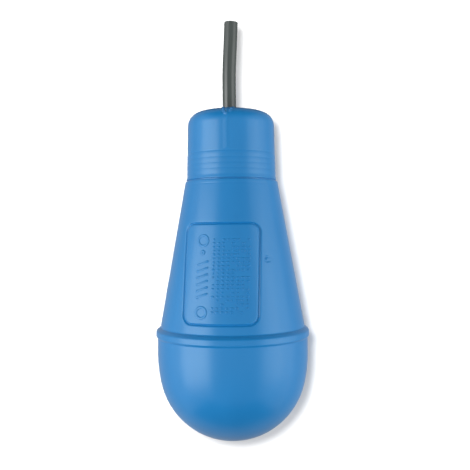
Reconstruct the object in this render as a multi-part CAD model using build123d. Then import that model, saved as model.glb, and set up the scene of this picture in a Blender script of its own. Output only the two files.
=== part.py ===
from build123d import *
from math import atan2, cos, degrees, radians, sin, sqrt, tan
import os

# Cable float switch: a pear of two blue shells that hangs from its cable, with a capped neck at the top.
# The origin is the middle of the cap's crown, where the cable leaves. +Z runs up the cable, and the
# panel of moulded marks faces -Y. All sizes are in millimetres.

# Cable
cable_radius = 4.0
cable_free_length = 51.7
cable_squeeze = 0.35
cable_tail = 6.0
sheath_wall = 0.55
core_spacing = 0.7
core_bore_gap = 0.05
insulation = 0.6
fan_lead = 5.3

# Neck cap
crown_radius = 79.4
shoulder_radius = 8.0
cap_foot_radius = 26.1
cap_draft = 1.2
cap_wall = 2.6
cap_height = 39.8
lip_rise = 0.6
lip_height = 2.4
band_groove_rise = 0.5
band_groove_depth = 0.16
band_groove_half = 0.45
ring_count = 4
ring_pitch = 3.1
ring_rise = 0.22
rib_width = 2.2
rib_rise = 0.22
rib_turn = 4.9
rib_start = 8.0
sealant_reach = 1.75
mouth_depth = 1.4
mouth_step = 0.9
seam_gap = 0.8
seam_depth = 1.3
boss_radius = 9.0
boss_depth = 9.3
snap_lift = 4.2
snap_rise = 0.6
snap_half = 1.4
push_gap = 0.2
grip_gap = 0.05

# Upper shell
cone_top_step = 1.05
cone_foot_step = 1.65
cone_height = 85.8
shell_edge = 0.4
shell_wall = 2.5
spigot_wall = 2.6
spigot_drop = 1.0
spigot_edge = 1.0
neck_line_drop = 2.3
neck_line_depth = 0.12
neck_line_half = 0.3
neck_disc = 3.0
socket_radius = 11.2
socket_wall = 3.0
web_thickness = 4.0
tongue_length = 5.0
tongue_wall = 1.5
tongue_gap = 0.15

# Moulded panel, gate mark and plain raised marks
panel_width = 41.9
panel_drop = 25.0
panel_lift = 5.6
panel_corner = 5.0
panel_line = 1.15
panel_depth = 0.6
mark_rise = 0.25
mark_ring_radius = 3.6
mark_dot_radius = 1.5
mark_bar_width = 1.4
mark_bar_length = 7.5
mark_bar_count = 6
mark_bar_pitch = 3.5
mark_column_x = -9.6
mark_gap = 5.8
mark_foot_gap = 3.0
mark_slant = 20.0
gate_turn = 44.6
gate_drop = 44.7
gate_radius = 1.5
gate_pip_radius = 0.8
gate_depth = 0.3

# Lower shell
dome_radius = 44.2
dome_straight = 14.1
dome_flank = 8.6
ball_end_step = 0.9
bead_proud = 0.8
bead_round = 2.1
bead_height = 5.0
bead_edge = 0.35

# Cable seal and clamp in the neck
pressure_ring_height = 3.0
seal_height = 11.7
seal_gap = 0.1
clamp_radius = 12.5
clamp_height = 8.0
clamp_slot = 1.2
clamp_screw_offset = 8.8
screw_radius = 1.4
screw_gap = 0.05
screw_head_radius = 2.6
screw_head_height = 2.0
clamp_screw_bite = 3.0
cross_depth = 0.6
cross_half_length = 1.4
cross_half_width = 0.3

# Ballast ring and switch capsule
ballast_drop = 3.0
ballast_height = 16.0
ballast_bore_gap = 1.7
seat_gap = 0.3
lid_gap = 1.6
lid_thickness = 4.0
gasket_thickness = 0.8
flange_thickness = 3.0
flange_reach = 4.5
capsule_wall = 2.2
lid_screw_inset = 2.8
lid_screw_count = 4
lid_screw_radius = 1.2
lid_screw_head_radius = 2.1
lid_screw_head_height = 1.6
lid_screw_bite = 2.4
plate_gap = 0.9
plate_thickness = 3.0
grommet_margin = 2.0
grommet_rim = 1.1
grommet_rim_height = 1.0
foam_gap = 0.2

# Snap switch
switch_drop = 14.0
switch_length = 27.8
switch_height = 16.0
switch_depth = 10.3
case_wall = 1.5
cover_thickness = 1.5
switch_hole_inset_x = 2.8
switch_hole_inset_z = 3.4
switch_boss_radius = 2.6
terminal_inset = 5.9
terminal_width = 4.8
terminal_thickness = 0.8
terminal_height = 6.5
arm_width = 2.0
arm_gap = 0.9
receptacle_wall = 0.6
receptacle_gap = 0.1
barrel_wall = 0.65
barrel_height = 4.5
blade_thickness = 0.3
blade_width = 3.0
blade_rise = 4.4
curl_radius = 0.5
contact_radius = 1.2
contact_height = 0.5
contact_break = 2.05
contact_reach = 3.2
plunger_radius = 1.25
plunger_flange_radius = 1.8
plunger_flange_height = 1.1
plunger_nub_radius = 0.8
plunger_nub_height = 0.5
plunger_gap = 0.15

# Lever, its pin and the ball
pivot_inset = 1.5
pivot_drop = 2.0
pin_radius = 0.75
pin_gap = 0.05
lever_reach = 6.1
lever_width = 4.0
lever_thickness = 0.5
lever_lug = 1.5
lever_rest_angle = 14.9
lever_start = 1.2
ear_half = 1.5
ear_thickness = 1.2
ear_gap = 0.2
plunger_offset = 5.4
ball_radius = 11.0
touch_gap = 0.1
race_gap = 0.3
race_wall = 2.2
race_lip_drop = 3.2


def flat(radius, height):
    # a point of an outline in the plane through the axis
    return (radius, 0, height)


def turned(start, *steps):
    # a solid of revolution: each step is the end of a line, or the middle and the end of an arc
    edges = []
    here = start
    for step in steps + (start,):
        if isinstance(step[0], tuple):
            edges.append(Edge.make_three_point_arc(flat(*here), flat(*step[0]), flat(*step[1])))
            here = step[1]
        else:
            edges.append(Edge.make_line(flat(*here), flat(*step)))
            here = step
    return revolve(Face(Wire(edges)), Axis.Z)


def tube(outer, inner, top, bottom):
    return turned((inner, top), (outer, top), (outer, bottom), (inner, bottom))


def disc(radius, top, bottom, x=0.0, y=0.0):
    return Pos(x, y, (top + bottom) / 2) * Cylinder(radius, top - bottom)


def block(x, y, z):
    # a box given by its lowest and highest value along each axis
    middle = [(low + high) / 2 for low, high in (x, y, z)]
    return Pos(*middle) * Box(x[1] - x[0], y[1] - y[0], z[1] - z[0])


def pin_y(radius, y, x, z):
    # a round pin or hole along Y
    return Pos(x, (y[0] + y[1]) / 2, z) * Rot(90, 0, 0) * Cylinder(radius, y[1] - y[0])


def lifted(outline, y):
    # a flat outline in X and Z, drawn out along Y between two values
    face = Plane.XZ.offset(-y[1]) * outline
    return extrude(face, y[1] - y[0])


def joined(pieces):
    whole = pieces[0]
    for piece in pieces[1:]:
        whole = whole + piece
    return whole


parts = {}

# Levels, from the crown of the cap downwards
cap_foot_z = -cap_height
lip_foot_z = cap_foot_z - lip_height
shoulder_z = lip_foot_z - seam_gap
ring_top_z = cap_foot_z + ring_count * ring_pitch
band_groove_z = ring_top_z + band_groove_rise
snap_z = cap_foot_z + snap_lift
boss_foot_z = -boss_depth
ring_foot_z = boss_foot_z - pressure_ring_height
socket_foot_z = ring_foot_z - seal_height
web_foot_z = socket_foot_z - web_thickness
clamp_foot_z = web_foot_z - clamp_height
cable_end_z = clamp_foot_z - cable_tail
parting_z = shoulder_z - cone_height
cone_foot_z = parting_z + shell_edge
panel_top_z = shoulder_z - panel_drop
panel_bottom_z = cone_foot_z + panel_lift
gate_z = shoulder_z - gate_drop
bead_foot_z = parting_z - bead_height
dome_straight_z = parting_z - dome_straight
ball_centre_z = dome_straight_z - dome_flank
ballast_top_z = shoulder_z - ballast_drop
lid_top_z = ballast_top_z - ballast_height

# Radii that depend on the cap, the dome and the cable
cone_top_radius = cap_foot_radius + cone_top_step
cone_foot_radius = dome_radius - cone_foot_step
bead_radius = dome_radius + bead_proud
ball_end_radius = dome_radius - ball_end_step
bottom_z = ball_centre_z - ball_end_radius
cable_inner_radius = cable_radius - cable_squeeze
core_hole = (cable_inner_radius - sheath_wall - core_spacing / sqrt(3)) / (1 + 2 / sqrt(3))
core_circle = (2 * core_hole + core_spacing) / sqrt(3)
core_radius = core_hole - core_bore_gap
conductor_radius = core_radius - insulation


def crown_height(radius, grow=0.0):
    # height of the cap's crown at a distance from the axis
    return -crown_radius + sqrt((crown_radius + grow) ** 2 - radius ** 2)


# Neck cap

cap_hole_radius = cable_inner_radius + grip_gap
draft = radians(cap_draft)


def shoulder_centre():
    # centre of the round between the crown and the drafted wall
    out = (cos(draft), sin(draft))
    up = (-sin(draft), cos(draft))
    x = cap_foot_radius - shoulder_radius * out[0]
    z = cap_foot_z - shoulder_radius * out[1] + crown_radius
    along = x * up[0] + z * up[1]
    reach = crown_radius - shoulder_radius
    t = -along + sqrt(along ** 2 - x ** 2 - z ** 2 + reach ** 2)
    return x + t * up[0], z + t * up[1] - crown_radius


def cap_wall_radius(z):
    return cap_foot_radius - (z - cap_foot_z) * tan(draft)


def cap_top(grow):
    # crown, shoulder and the top of the wall, as steps of an outline from the cable hole outwards
    x, z = shoulder_centre()
    lean = atan2(x, z + crown_radius)
    grown = crown_radius + grow
    crown_end = (grown * sin(lean), grown * cos(lean) - crown_radius)
    round_radius = shoulder_radius + grow
    wall_start = (x + round_radius * cos(draft), z + round_radius * sin(draft))
    turn = (lean + radians(90) - draft) / 2
    round_middle = (x + round_radius * sin(turn), z + round_radius * cos(turn))
    crown_middle = (grown * sin(lean / 2), grown * cos(lean / 2) - crown_radius)
    return crown_middle, crown_end, round_middle, wall_start


def cap_solid(grow):
    # the cap's outer form without its band, grown outwards
    crown_middle, crown_end, round_middle, wall_start = cap_top(grow)
    foot = (cap_wall_radius(cap_foot_z) + grow, cap_foot_z)
    return turned((0, grow), (crown_middle, crown_end), (round_middle, wall_start), foot, (0, cap_foot_z))


def ring_steps():
    # the shallow groove at the top of the band and the low rings below it
    steps = [(cap_wall_radius(band_groove_z + band_groove_half), band_groove_z + band_groove_half)]
    steps.append((cap_wall_radius(band_groove_z) - band_groove_depth, band_groove_z))
    steps.append((cap_wall_radius(ring_top_z), ring_top_z))
    for index in range(ring_count):
        middle_z = ring_top_z - (index + 0.5) * ring_pitch
        foot_z = middle_z - ring_pitch / 2
        middle = (cap_wall_radius(middle_z) + ring_rise, middle_z)
        steps.append((middle, (cap_wall_radius(foot_z), foot_z)))
    return steps


centre_x, centre_z = shoulder_centre()
inner_round = shoulder_radius - cap_wall
cap_inner_radius = centre_x + inner_round
spigot_radius = cap_inner_radius - push_gap
cap_ceiling_z = centre_z + inner_round
lip_radius = cap_foot_radius + lip_rise
quarter = sqrt(0.5)

# The cable's mouth is a small recess in the crown, which sealing compound fills flush
mouth_radius = cap_hole_radius + sealant_reach
mouth_floor_radius = mouth_radius - mouth_step

crown_middle, crown_end, round_middle, wall_start = cap_top(0.0)
cap_form = turned(
    (cap_hole_radius, -mouth_depth),
    (mouth_floor_radius, -mouth_depth),
    (mouth_radius, crown_height(mouth_radius)),
    (crown_middle, crown_end),
    (round_middle, wall_start),
    *ring_steps(),
    (lip_radius, cap_foot_z - lip_rise),
    (lip_radius, lip_foot_z + lip_rise / 2),
    (lip_radius - lip_rise / 2, lip_foot_z),
    (lip_radius - seam_depth, lip_foot_z),
    (lip_radius - seam_depth, shoulder_z),
    (cap_inner_radius, shoulder_z),
    (cap_inner_radius, snap_z - snap_half),
    (cap_inner_radius + snap_rise, snap_z - snap_half + snap_rise),
    (cap_inner_radius + snap_rise, snap_z + snap_half - snap_rise),
    (cap_inner_radius, snap_z + snap_half),
    (cap_inner_radius, centre_z),
    ((centre_x + inner_round * quarter, centre_z + inner_round * quarter), (centre_x, cap_ceiling_z)),
    (boss_radius, cap_ceiling_z),
    (boss_radius, boss_foot_z),
    (cap_hole_radius, boss_foot_z),
)
parts["sealant_bead"] = turned(
    (cap_hole_radius, crown_height(mouth_radius)),
    (mouth_radius, crown_height(mouth_radius)),
    (mouth_floor_radius, -mouth_depth),
    (cap_hole_radius, -mouth_depth),
)

# The faint mould rib that runs over the crown and down to the band
rib_reach = (-cap_foot_radius - cap_wall, -rib_start)
rib_box = block((-rib_width / 2, rib_width / 2), rib_reach, (band_groove_z, 1))
rib_skin = cap_solid(rib_rise) - cap_solid(-cap_wall / 2)
parts["neck_cap"] = cap_form + ((Rot(0, 0, rib_turn) * rib_box) & rib_skin)

# Upper shell

cone_slope = (cone_foot_radius - cone_top_radius) / (shoulder_z - cone_foot_z)
cone_inset = shell_wall * sqrt(1 + cone_slope ** 2)


def cone_radius(z, grow=0.0):
    return cone_top_radius + (shoulder_z - z) * cone_slope + grow


def cone_solid(grow):
    top = (cone_radius(shoulder_z, grow), shoulder_z)
    foot = (cone_radius(cone_foot_z, grow), cone_foot_z)
    return turned((0, shoulder_z), top, foot, (0, cone_foot_z))


spigot_top_z = boss_foot_z - spigot_drop
neck_line_z = shoulder_z - neck_line_drop
shell_inner = dome_radius - shell_wall
tongue_radius = shell_inner - tongue_gap
tongue_inner = tongue_radius - tongue_wall

shell_form = turned(
    (socket_radius, spigot_top_z),
    (spigot_radius - spigot_edge, spigot_top_z),
    (spigot_radius, spigot_top_z - spigot_edge),
    (spigot_radius, snap_z + snap_half - push_gap),
    (spigot_radius + snap_rise, snap_z + snap_half - push_gap - snap_rise),
    (spigot_radius + snap_rise, snap_z - snap_half + push_gap + snap_rise),
    (spigot_radius, snap_z - snap_half + push_gap),
    (spigot_radius, shoulder_z),
    (cone_top_radius - shell_edge, shoulder_z),
    (cone_radius(shoulder_z - shell_edge), shoulder_z - shell_edge),
    (cone_radius(neck_line_z + neck_line_half), neck_line_z + neck_line_half),
    (cone_radius(neck_line_z) - neck_line_depth, neck_line_z),
    (cone_radius(neck_line_z - neck_line_half), neck_line_z - neck_line_half),
    (cone_foot_radius, cone_foot_z),
    (cone_foot_radius - shell_edge, parting_z),
    (tongue_radius, parting_z),
    (tongue_radius, parting_z - tongue_length),
    (tongue_inner, parting_z - tongue_length),
    (tongue_inner, parting_z),
    (cone_radius(parting_z) - cone_inset, parting_z),
    (cone_radius(shoulder_z - shell_wall) - cone_inset, shoulder_z - shell_wall),
    (spigot_radius - spigot_wall, shoulder_z - shell_wall),
    (spigot_radius - spigot_wall, spigot_top_z - neck_disc),
    (socket_radius + socket_wall, spigot_top_z - neck_disc),
    (socket_radius + socket_wall, web_foot_z),
    (cap_hole_radius, web_foot_z),
    (cap_hole_radius, socket_foot_z),
    (socket_radius, socket_foot_z),
)

panel_middle_z = (panel_top_z + panel_bottom_z) / 2
panel_height = panel_top_z - panel_bottom_z
front = (-dome_radius, -cone_top_radius / 2)


def panel_outline(inset):
    outline = RectangleRounded(panel_width - 2 * inset, panel_height - 2 * inset, panel_corner - inset)
    return Pos(0, panel_middle_z) * outline


panel_ring = lifted(panel_outline(-panel_line / 2) - panel_outline(panel_line / 2), front)
panel_groove = panel_ring - cone_solid(-panel_depth)


def mark_outlines():
    # plain shapes in one column down the left of the panel: a ring and dot, slanted bars, a ring
    z = panel_top_z - mark_gap - mark_ring_radius
    mark_ring = Circle(mark_ring_radius) - Circle(mark_ring_radius - mark_bar_width)
    outlines = [Pos(mark_column_x, z) * mark_ring]
    z = z - mark_ring_radius - mark_dot_radius - mark_bar_width
    outlines.append(Pos(mark_column_x, z) * Circle(mark_dot_radius))
    z = z - mark_gap
    for _ in range(mark_bar_count):
        bar = Rectangle(mark_bar_length, mark_bar_width)
        outlines.append(Pos(mark_column_x, z) * Rot(0, 0, mark_slant) * bar)
        z = z - mark_bar_pitch
    z = panel_bottom_z + mark_foot_gap + mark_ring_radius
    outlines.append(Pos(mark_column_x, z) * mark_ring)
    return outlines


mark_skin = cone_solid(mark_rise) - cone_solid(-shell_wall / 2)
marks = [lifted(outline, front) & mark_skin for outline in mark_outlines()]

gate_tilt = 90 + degrees(atan2(cone_slope, 1))
gate_plane = Rot(0, 0, gate_turn) * Pos(0, -cone_radius(gate_z), gate_z) * Rot(gate_tilt, 0, 0)
gate_ring = gate_plane * (Cylinder(gate_radius, 2 * gate_depth) - Cylinder(gate_pip_radius, 2 * gate_depth))

clamp_screw_top_z = web_foot_z + clamp_screw_bite
clamp_sides = (-clamp_screw_offset, clamp_screw_offset)
clamp_hole_top_z = clamp_screw_top_z + screw_gap
clamp_holes = [disc(screw_radius + screw_gap, clamp_hole_top_z, clamp_foot_z, x) for x in clamp_sides]
parts["upper_shell"] = joined([shell_form - panel_groove - gate_ring - joined(clamp_holes)] + marks)

# Lower shell: a dome with a collar whose bead stands out round the parting

rise = dome_straight_z - ball_centre_z
flank_radius = (dome_radius ** 2 + rise ** 2 - ball_end_radius ** 2) / (2 * (dome_radius - ball_end_radius))


def dome_steps(inset):
    # the dome from the end of its straight wall to its lowest point: a slow flank, then a ball
    flank_x = dome_radius - flank_radius
    lean = atan2(-rise, -flank_x)
    start = (dome_radius - inset, dome_straight_z)
    far = flank_radius - inset
    flank_middle = (flank_x + far * cos(lean / 2), dome_straight_z + far * sin(lean / 2))
    flank_end = (flank_x + far * cos(lean), dome_straight_z + far * sin(lean))
    near = ball_end_radius - inset
    ball_turn = (lean + radians(-90)) / 2
    ball_middle = (near * cos(ball_turn), ball_centre_z + near * sin(ball_turn))
    return start, (flank_middle, flank_end), (ball_middle, (0, bottom_z + inset))


def dome_solid(inset, top_z):
    start, flank, ball = dome_steps(inset)
    return turned((0, top_z), (start[0], top_z), start, flank, ball)


bead_line_z = parting_z - bead_round
bead_middle = (bead_radius - bead_round * (1 - quarter), bead_line_z + bead_round * quarter)
collar = turned(
    (shell_inner, parting_z),
    (bead_radius - bead_round, parting_z),
    (bead_middle, (bead_radius, bead_line_z)),
    (bead_radius, bead_foot_z + bead_edge),
    (bead_radius - bead_edge, bead_foot_z),
    (dome_radius, bead_foot_z),
    (shell_inner, bead_foot_z),
)
parts["lower_shell"] = (dome_solid(0, bead_foot_z) + collar) - dome_solid(shell_wall, parting_z + 1)

# Cable seal, pressure ring and cable clamp

parts["pressure_ring"] = tube(socket_radius - seal_gap, cap_hole_radius, boss_foot_z, ring_foot_z)
parts["cable_seal"] = tube(socket_radius - seal_gap, cap_hole_radius, ring_foot_z, socket_foot_z)
clamp_cut = block((-clamp_slot / 2, clamp_slot / 2), (0, clamp_radius + 1), (clamp_foot_z, web_foot_z))
clamp_body = tube(clamp_radius, cap_hole_radius, web_foot_z, clamp_foot_z)
parts["cable_clamp"] = clamp_body - clamp_cut - joined(clamp_holes)


cross_halves = ((cross_half_length, cross_half_width), (cross_half_width, cross_half_length))


def screw(radius, top, head_top, head_radius, head_height, x, y, head_below):
    # a plain screw along Z with a cross slot in its head
    head = disc(head_radius, head_top, head_top - head_height, x, y)
    face = head_top - head_height if head_below else head_top
    face_z = (face - cross_depth, face + cross_depth)
    slot = [block((x - a, x + a), (y - b, y + b), face_z) for a, b in cross_halves]
    ends = sorted((top, head_top - head_height / 2))
    return disc(radius, ends[1], ends[0], x, y) + head - joined(slot)


clamp_screws = [
    screw(screw_radius, clamp_screw_top_z, clamp_foot_z, screw_head_radius, screw_head_height, x, 0.0, True)
    for x in clamp_sides
]
parts["clamp_screws"] = Compound(children=clamp_screws)

# Capsule lid with the plate that carries the switch, gasket and capsule


def cone_inner(z):
    return cone_radius(z) - cone_inset


lid_radius = cone_inner(lid_top_z) - lid_gap
capsule_radius = lid_radius - flange_reach
lid_screw_circle = lid_radius - lid_screw_inset
half_length = switch_length / 2
half_depth = switch_depth / 2
terminal_pitch = half_length - terminal_inset
grommet_length = 2 * (terminal_pitch + core_hole + grommet_margin)
grommet_width = 2 * (core_hole + grommet_margin)
lid_foot_z = lid_top_z - lid_thickness
gasket_foot_z = lid_foot_z - gasket_thickness
flange_foot_z = gasket_foot_z - flange_thickness
capsule_inner = capsule_radius - capsule_wall
lid_spots = PolarLocations(lid_screw_circle, lid_screw_count, start_angle=45)
lid_screw_foot_z = gasket_foot_z - lid_screw_bite
lid_head_foot_z = lid_top_z - lid_screw_head_height


def at_lid_screws(make):
    return [make(spot.position.X, spot.position.Y) for spot in lid_spots]


lid_holes = joined(
    at_lid_screws(
        lambda x, y: disc(lid_screw_radius + screw_gap, lid_top_z, lid_screw_foot_z - screw_gap, x, y)
        + disc(lid_screw_head_radius + screw_gap, lid_top_z, lid_head_foot_z, x, y)
    )
)
switch_top_z = lid_foot_z - switch_drop
switch_foot_z = switch_top_z - switch_height
switch_middle_z = (switch_top_z + switch_foot_z) / 2
switch_hole_x = half_length - switch_hole_inset_x
switch_hole_z = switch_height / 2 - switch_hole_inset_z
switch_holes = (
    (-switch_hole_x, switch_middle_z + switch_hole_z),
    (switch_hole_x, switch_middle_z - switch_hole_z),
)


def slot_block(length, width, top, bottom):
    # an upright block with round ends, in the middle of the lid
    return Pos(0, 0, bottom) * extrude(SlotOverall(length, width), top - bottom)


plate_y = (half_depth, half_depth + plate_thickness)
plate_half_width = sqrt((capsule_inner - plate_gap) ** 2 - plate_y[1] ** 2)
plate = block((-plate_half_width, plate_half_width), plate_y, (switch_foot_z - 1, lid_foot_z + 1))
plate_holes = joined([pin_y(screw_radius + screw_gap, plate_y, x, z) for x, z in switch_holes])
lid_disc = disc(lid_radius, lid_top_z, lid_foot_z)
grommet_hole = slot_block(grommet_length, grommet_width, lid_top_z, lid_foot_z)
parts["capsule_lid"] = lid_disc + plate - plate_holes - grommet_hole - lid_holes
parts["capsule_gasket"] = tube(lid_radius, capsule_inner, lid_foot_z, gasket_foot_z) - lid_holes
lid_head = (lid_screw_head_radius, lid_screw_head_height)
parts["capsule_screws"] = Compound(
    children=at_lid_screws(
        lambda x, y: screw(lid_screw_radius, lid_screw_foot_z, lid_top_z, *lid_head, x, y, False)
    )
)

# Ball, lever and the way that they touch: the lever's underside lies on a line through its pivot

pivot_x = pivot_inset - half_length
pivot_z = switch_foot_z - pivot_drop
lever_length = lever_reach - pivot_x
rest_lean = radians(lever_rest_angle)
ball_z = pivot_z + pivot_x * tan(rest_lean) - (ball_radius + touch_gap) / cos(rest_lean)
parts["steel_ball"] = Pos(0, 0, ball_z) * Sphere(ball_radius)

# Capsule: a cup with a thimble under it that the ball lies in

race_radius = ball_radius + race_gap
thimble_radius = race_radius + race_wall
cup_floor_z = ball_z + ball_radius - race_lip_drop
cup_foot_z = cup_floor_z - capsule_wall


def capsule_form(grow):
    # the capsule's outer form below its flange, grown outwards
    wide = capsule_radius + grow
    narrow = thimble_radius + grow
    return turned(
        (0, flange_foot_z + grow),
        (wide, flange_foot_z + grow),
        (wide, cup_foot_z - grow),
        (narrow, cup_foot_z - grow),
        (narrow, ball_z),
        ((narrow * quarter, ball_z - narrow * quarter), (0, ball_z - narrow)),
    )


capsule_hollow = turned(
    (0, gasket_foot_z),
    (capsule_inner, gasket_foot_z),
    (capsule_inner, cup_floor_z),
    (race_radius, cup_floor_z),
    (race_radius, ball_z),
    ((race_radius * quarter, ball_z - race_radius * quarter), (0, ball_z - race_radius)),
)
flange = disc(lid_radius, gasket_foot_z, flange_foot_z)
parts["capsule_body"] = flange + capsule_form(0) - capsule_hollow - lid_holes

# Grommet that seals the three cores in the lid

core_stops = {"brown": -terminal_pitch, "black": 0.0, "blue": terminal_pitch}
core_turns = {"brown": 210, "black": 90, "blue": 330}
grommet_top_z = lid_top_z + grommet_rim_height
grommet_shrink = 2 * grip_gap
grommet_grow = 2 * grommet_rim
grommet_body = slot_block(
    grommet_length - grommet_shrink, grommet_width - grommet_shrink, lid_top_z, lid_foot_z
)
grommet_cap = slot_block(
    grommet_length + grommet_grow, grommet_width + grommet_grow, grommet_top_z, lid_top_z
)
grommet_bores = [disc(core_hole, grommet_top_z, lid_foot_z, x) for x in core_stops.values()]
parts["core_grommet"] = grommet_body + grommet_cap - joined(grommet_bores)

# Ballast ring, seated in the cone on the capsule's lid

ballast_bore_radius = grommet_length / 2 + grommet_rim + ballast_bore_gap
parts["ballast_ring"] = turned(
    (ballast_bore_radius, ballast_top_z),
    (cone_inner(ballast_top_z) - seat_gap, ballast_top_z),
    (cone_inner(lid_top_z) - seat_gap, lid_top_z),
    (ballast_bore_radius, lid_top_z),
)

# Foam: a collar in the cone round the capsule, and a base in the dome

foam_top_z = flange_foot_z
tongue_foot_z = parting_z - tongue_length
foam_collar_form = turned(
    (0, foam_top_z),
    (cone_inner(foam_top_z) - seat_gap, foam_top_z),
    (cone_inner(parting_z) - seat_gap, parting_z),
    (0, parting_z),
)
parts["foam_collar"] = foam_collar_form - capsule_form(foam_gap)
foam_start, foam_flank, foam_ball = dome_steps(shell_wall + seat_gap)
foam_base_form = turned(
    (0, parting_z - foam_gap),
    (tongue_inner - seat_gap, parting_z - foam_gap),
    (tongue_inner - seat_gap, tongue_foot_z - seat_gap),
    (foam_start[0], tongue_foot_z - seat_gap),
    foam_start,
    foam_flank,
    foam_ball,
)
parts["foam_base"] = foam_base_form - capsule_form(foam_gap)

# Snap switch: case with its bosses and ears, and the cover on its front

case_front_y = -half_depth + cover_thickness
cavity_z = (switch_foot_z + case_wall, switch_top_z - case_wall)
cavity = block(
    (-half_length + case_wall, half_length - case_wall),
    (case_front_y, half_depth - case_wall),
    cavity_z,
)
case_box = block((-half_length, half_length), (case_front_y, half_depth), (switch_foot_z, switch_top_z))
case_bosses = [pin_y(switch_boss_radius, (case_front_y, half_depth), x, z) for x, z in switch_holes]
switch_y = (-half_depth, half_depth)
screw_ways = joined([pin_y(screw_radius + screw_gap, switch_y, x, z) for x, z in switch_holes])
ear_inner_y = lever_width / 2 + ear_gap
ear_sides = ((-ear_inner_y - ear_thickness, -ear_inner_y), (ear_inner_y, ear_inner_y + ear_thickness))
ear_x = (pivot_x - ear_half, pivot_x + ear_half)
ears = [block(ear_x, y, (pivot_z - ear_half, switch_foot_z + case_wall / 2)) for y in ear_sides]
ear_span = (-ear_inner_y - ear_thickness, ear_inner_y + ear_thickness)
pin_hole = pin_y(pin_radius + pin_gap, ear_span, pivot_x, pivot_z)
plunger_x = pivot_x + plunger_offset
plunger_hole = disc(plunger_radius + core_bore_gap, cavity_z[0], switch_foot_z, plunger_x)
blade_half = terminal_width / 2
sheet_half = terminal_thickness / 2


def terminal_blade(x, grow=0.0):
    # the stretch of a terminal from the case's ceiling to its tip
    reach = (cavity_z[1], switch_top_z + terminal_height)
    thickness = (-sheet_half - grow, sheet_half + grow)
    return block((x - blade_half - grow, x + blade_half + grow), thickness, reach)


terminal_slots = joined([terminal_blade(x, grip_gap) for x in core_stops.values()])
case_solid = joined([case_box - cavity] + [boss & case_box for boss in case_bosses] + ears)
parts["switch_case"] = case_solid - screw_ways - pin_hole - plunger_hole - terminal_slots
cover_box = block((-half_length, half_length), (-half_depth, case_front_y), (switch_foot_z, switch_top_z))
parts["switch_cover"] = cover_box - screw_ways

# Terminals, snap blade and contacts inside the case
# The blade's curled end turns under the common terminal's arm

blade_z = cavity_z[0] + blade_rise
arm_half = arm_width / 2
contact_x = plunger_x - contact_reach
contact_span = (contact_x - contact_radius, contact_x + contact_radius)
blade_x = (contact_span[0], terminal_pitch)
blade_strip = block(blade_x, (-blade_width / 2, blade_width / 2), (blade_z - blade_thickness, blade_z))
button_z = (blade_z - blade_thickness - contact_height, blade_z + contact_height)
blade_pivot_z = blade_z - blade_thickness / 2
blade_curl = pin_y(curl_radius, (-blade_width / 2, blade_width / 2), terminal_pitch, blade_pivot_z)
parts["snap_blade"] = blade_strip + blade_curl + disc(contact_radius, button_z[1], button_z[0], contact_x)

sheet_y = (-sheet_half, sheet_half)
common_arm_z = (blade_pivot_z + curl_radius + grip_gap, cavity_z[1])
common_arm = block((terminal_pitch - arm_half, terminal_pitch + arm_half), sheet_y, common_arm_z)
parts["terminal_common"] = terminal_blade(terminal_pitch) + common_arm

open_contact_z = button_z[1] + contact_break
open_foot_z = open_contact_z + contact_height
open_side_x = -(switch_hole_x - switch_boss_radius - arm_gap - arm_width)
open_arm = block((open_side_x - arm_width, open_side_x), sheet_y, (open_foot_z, cavity_z[1]))
open_foot_span = (open_foot_z, open_foot_z + terminal_thickness)
open_foot = block((contact_span[0], open_side_x), (-contact_radius, contact_radius), open_foot_span)
open_button = disc(contact_radius, open_foot_z, open_contact_z, contact_x)
parts["terminal_open"] = joined([terminal_blade(-terminal_pitch), open_arm, open_foot, open_button])

# The closed contact's arm steps aside under the ceiling, runs down beside the blade and comes back under it
arm_x = (-arm_half, arm_half)
side_y = (half_depth - case_wall - terminal_thickness - grip_gap, half_depth - case_wall - grip_gap)
ceiling_span = (cavity_z[1] - terminal_thickness - grip_gap, cavity_z[1] - grip_gap)
floor_span = (cavity_z[0] + grip_gap, cavity_z[0] + grip_gap + terminal_thickness)
closed_pieces = [
    terminal_blade(0.0),
    block(arm_x, sheet_y, (ceiling_span[0], cavity_z[1])),
    block(arm_x, (-sheet_half, side_y[1]), ceiling_span),
    block(arm_x, side_y, (floor_span[0], ceiling_span[1])),
    block((contact_span[0], arm_half), side_y, floor_span),
    block(contact_span, (-contact_radius, side_y[1]), floor_span),
    disc(contact_radius, button_z[0] - grip_gap, floor_span[1], contact_x),
]
parts["terminal_closed"] = joined(closed_pieces)

# Receptacles pushed on the three blades, each with a barrel for its core

blade_tip_z = switch_top_z + terminal_height
receptacle_x = blade_half + receptacle_gap
receptacle_y = sheet_half + receptacle_gap
receptacles = []
for x in core_stops.values():
    shell = block(
        (x - receptacle_x - receptacle_wall, x + receptacle_x + receptacle_wall),
        (-receptacle_y - receptacle_wall, receptacle_y + receptacle_wall),
        (switch_top_z + receptacle_gap, blade_tip_z + receptacle_gap + receptacle_wall),
    )
    way = block(
        (x - receptacle_x, x + receptacle_x),
        (-receptacle_y, receptacle_y),
        (switch_top_z, blade_tip_z + receptacle_gap),
    )
    barrel_foot_z = blade_tip_z + receptacle_gap + receptacle_wall
    barrel_top_z = barrel_foot_z + barrel_height
    barrel = disc(core_hole + barrel_wall, barrel_top_z, barrel_foot_z - receptacle_wall / 2, x)
    barrel_bore = disc(core_hole, barrel_top_z, barrel_foot_z, x)
    receptacles.append(shell + barrel - way - barrel_bore)
parts["wire_receptacles"] = Compound(children=receptacles)

# Switch screws, along Y through the switch into the lid's plate

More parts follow.
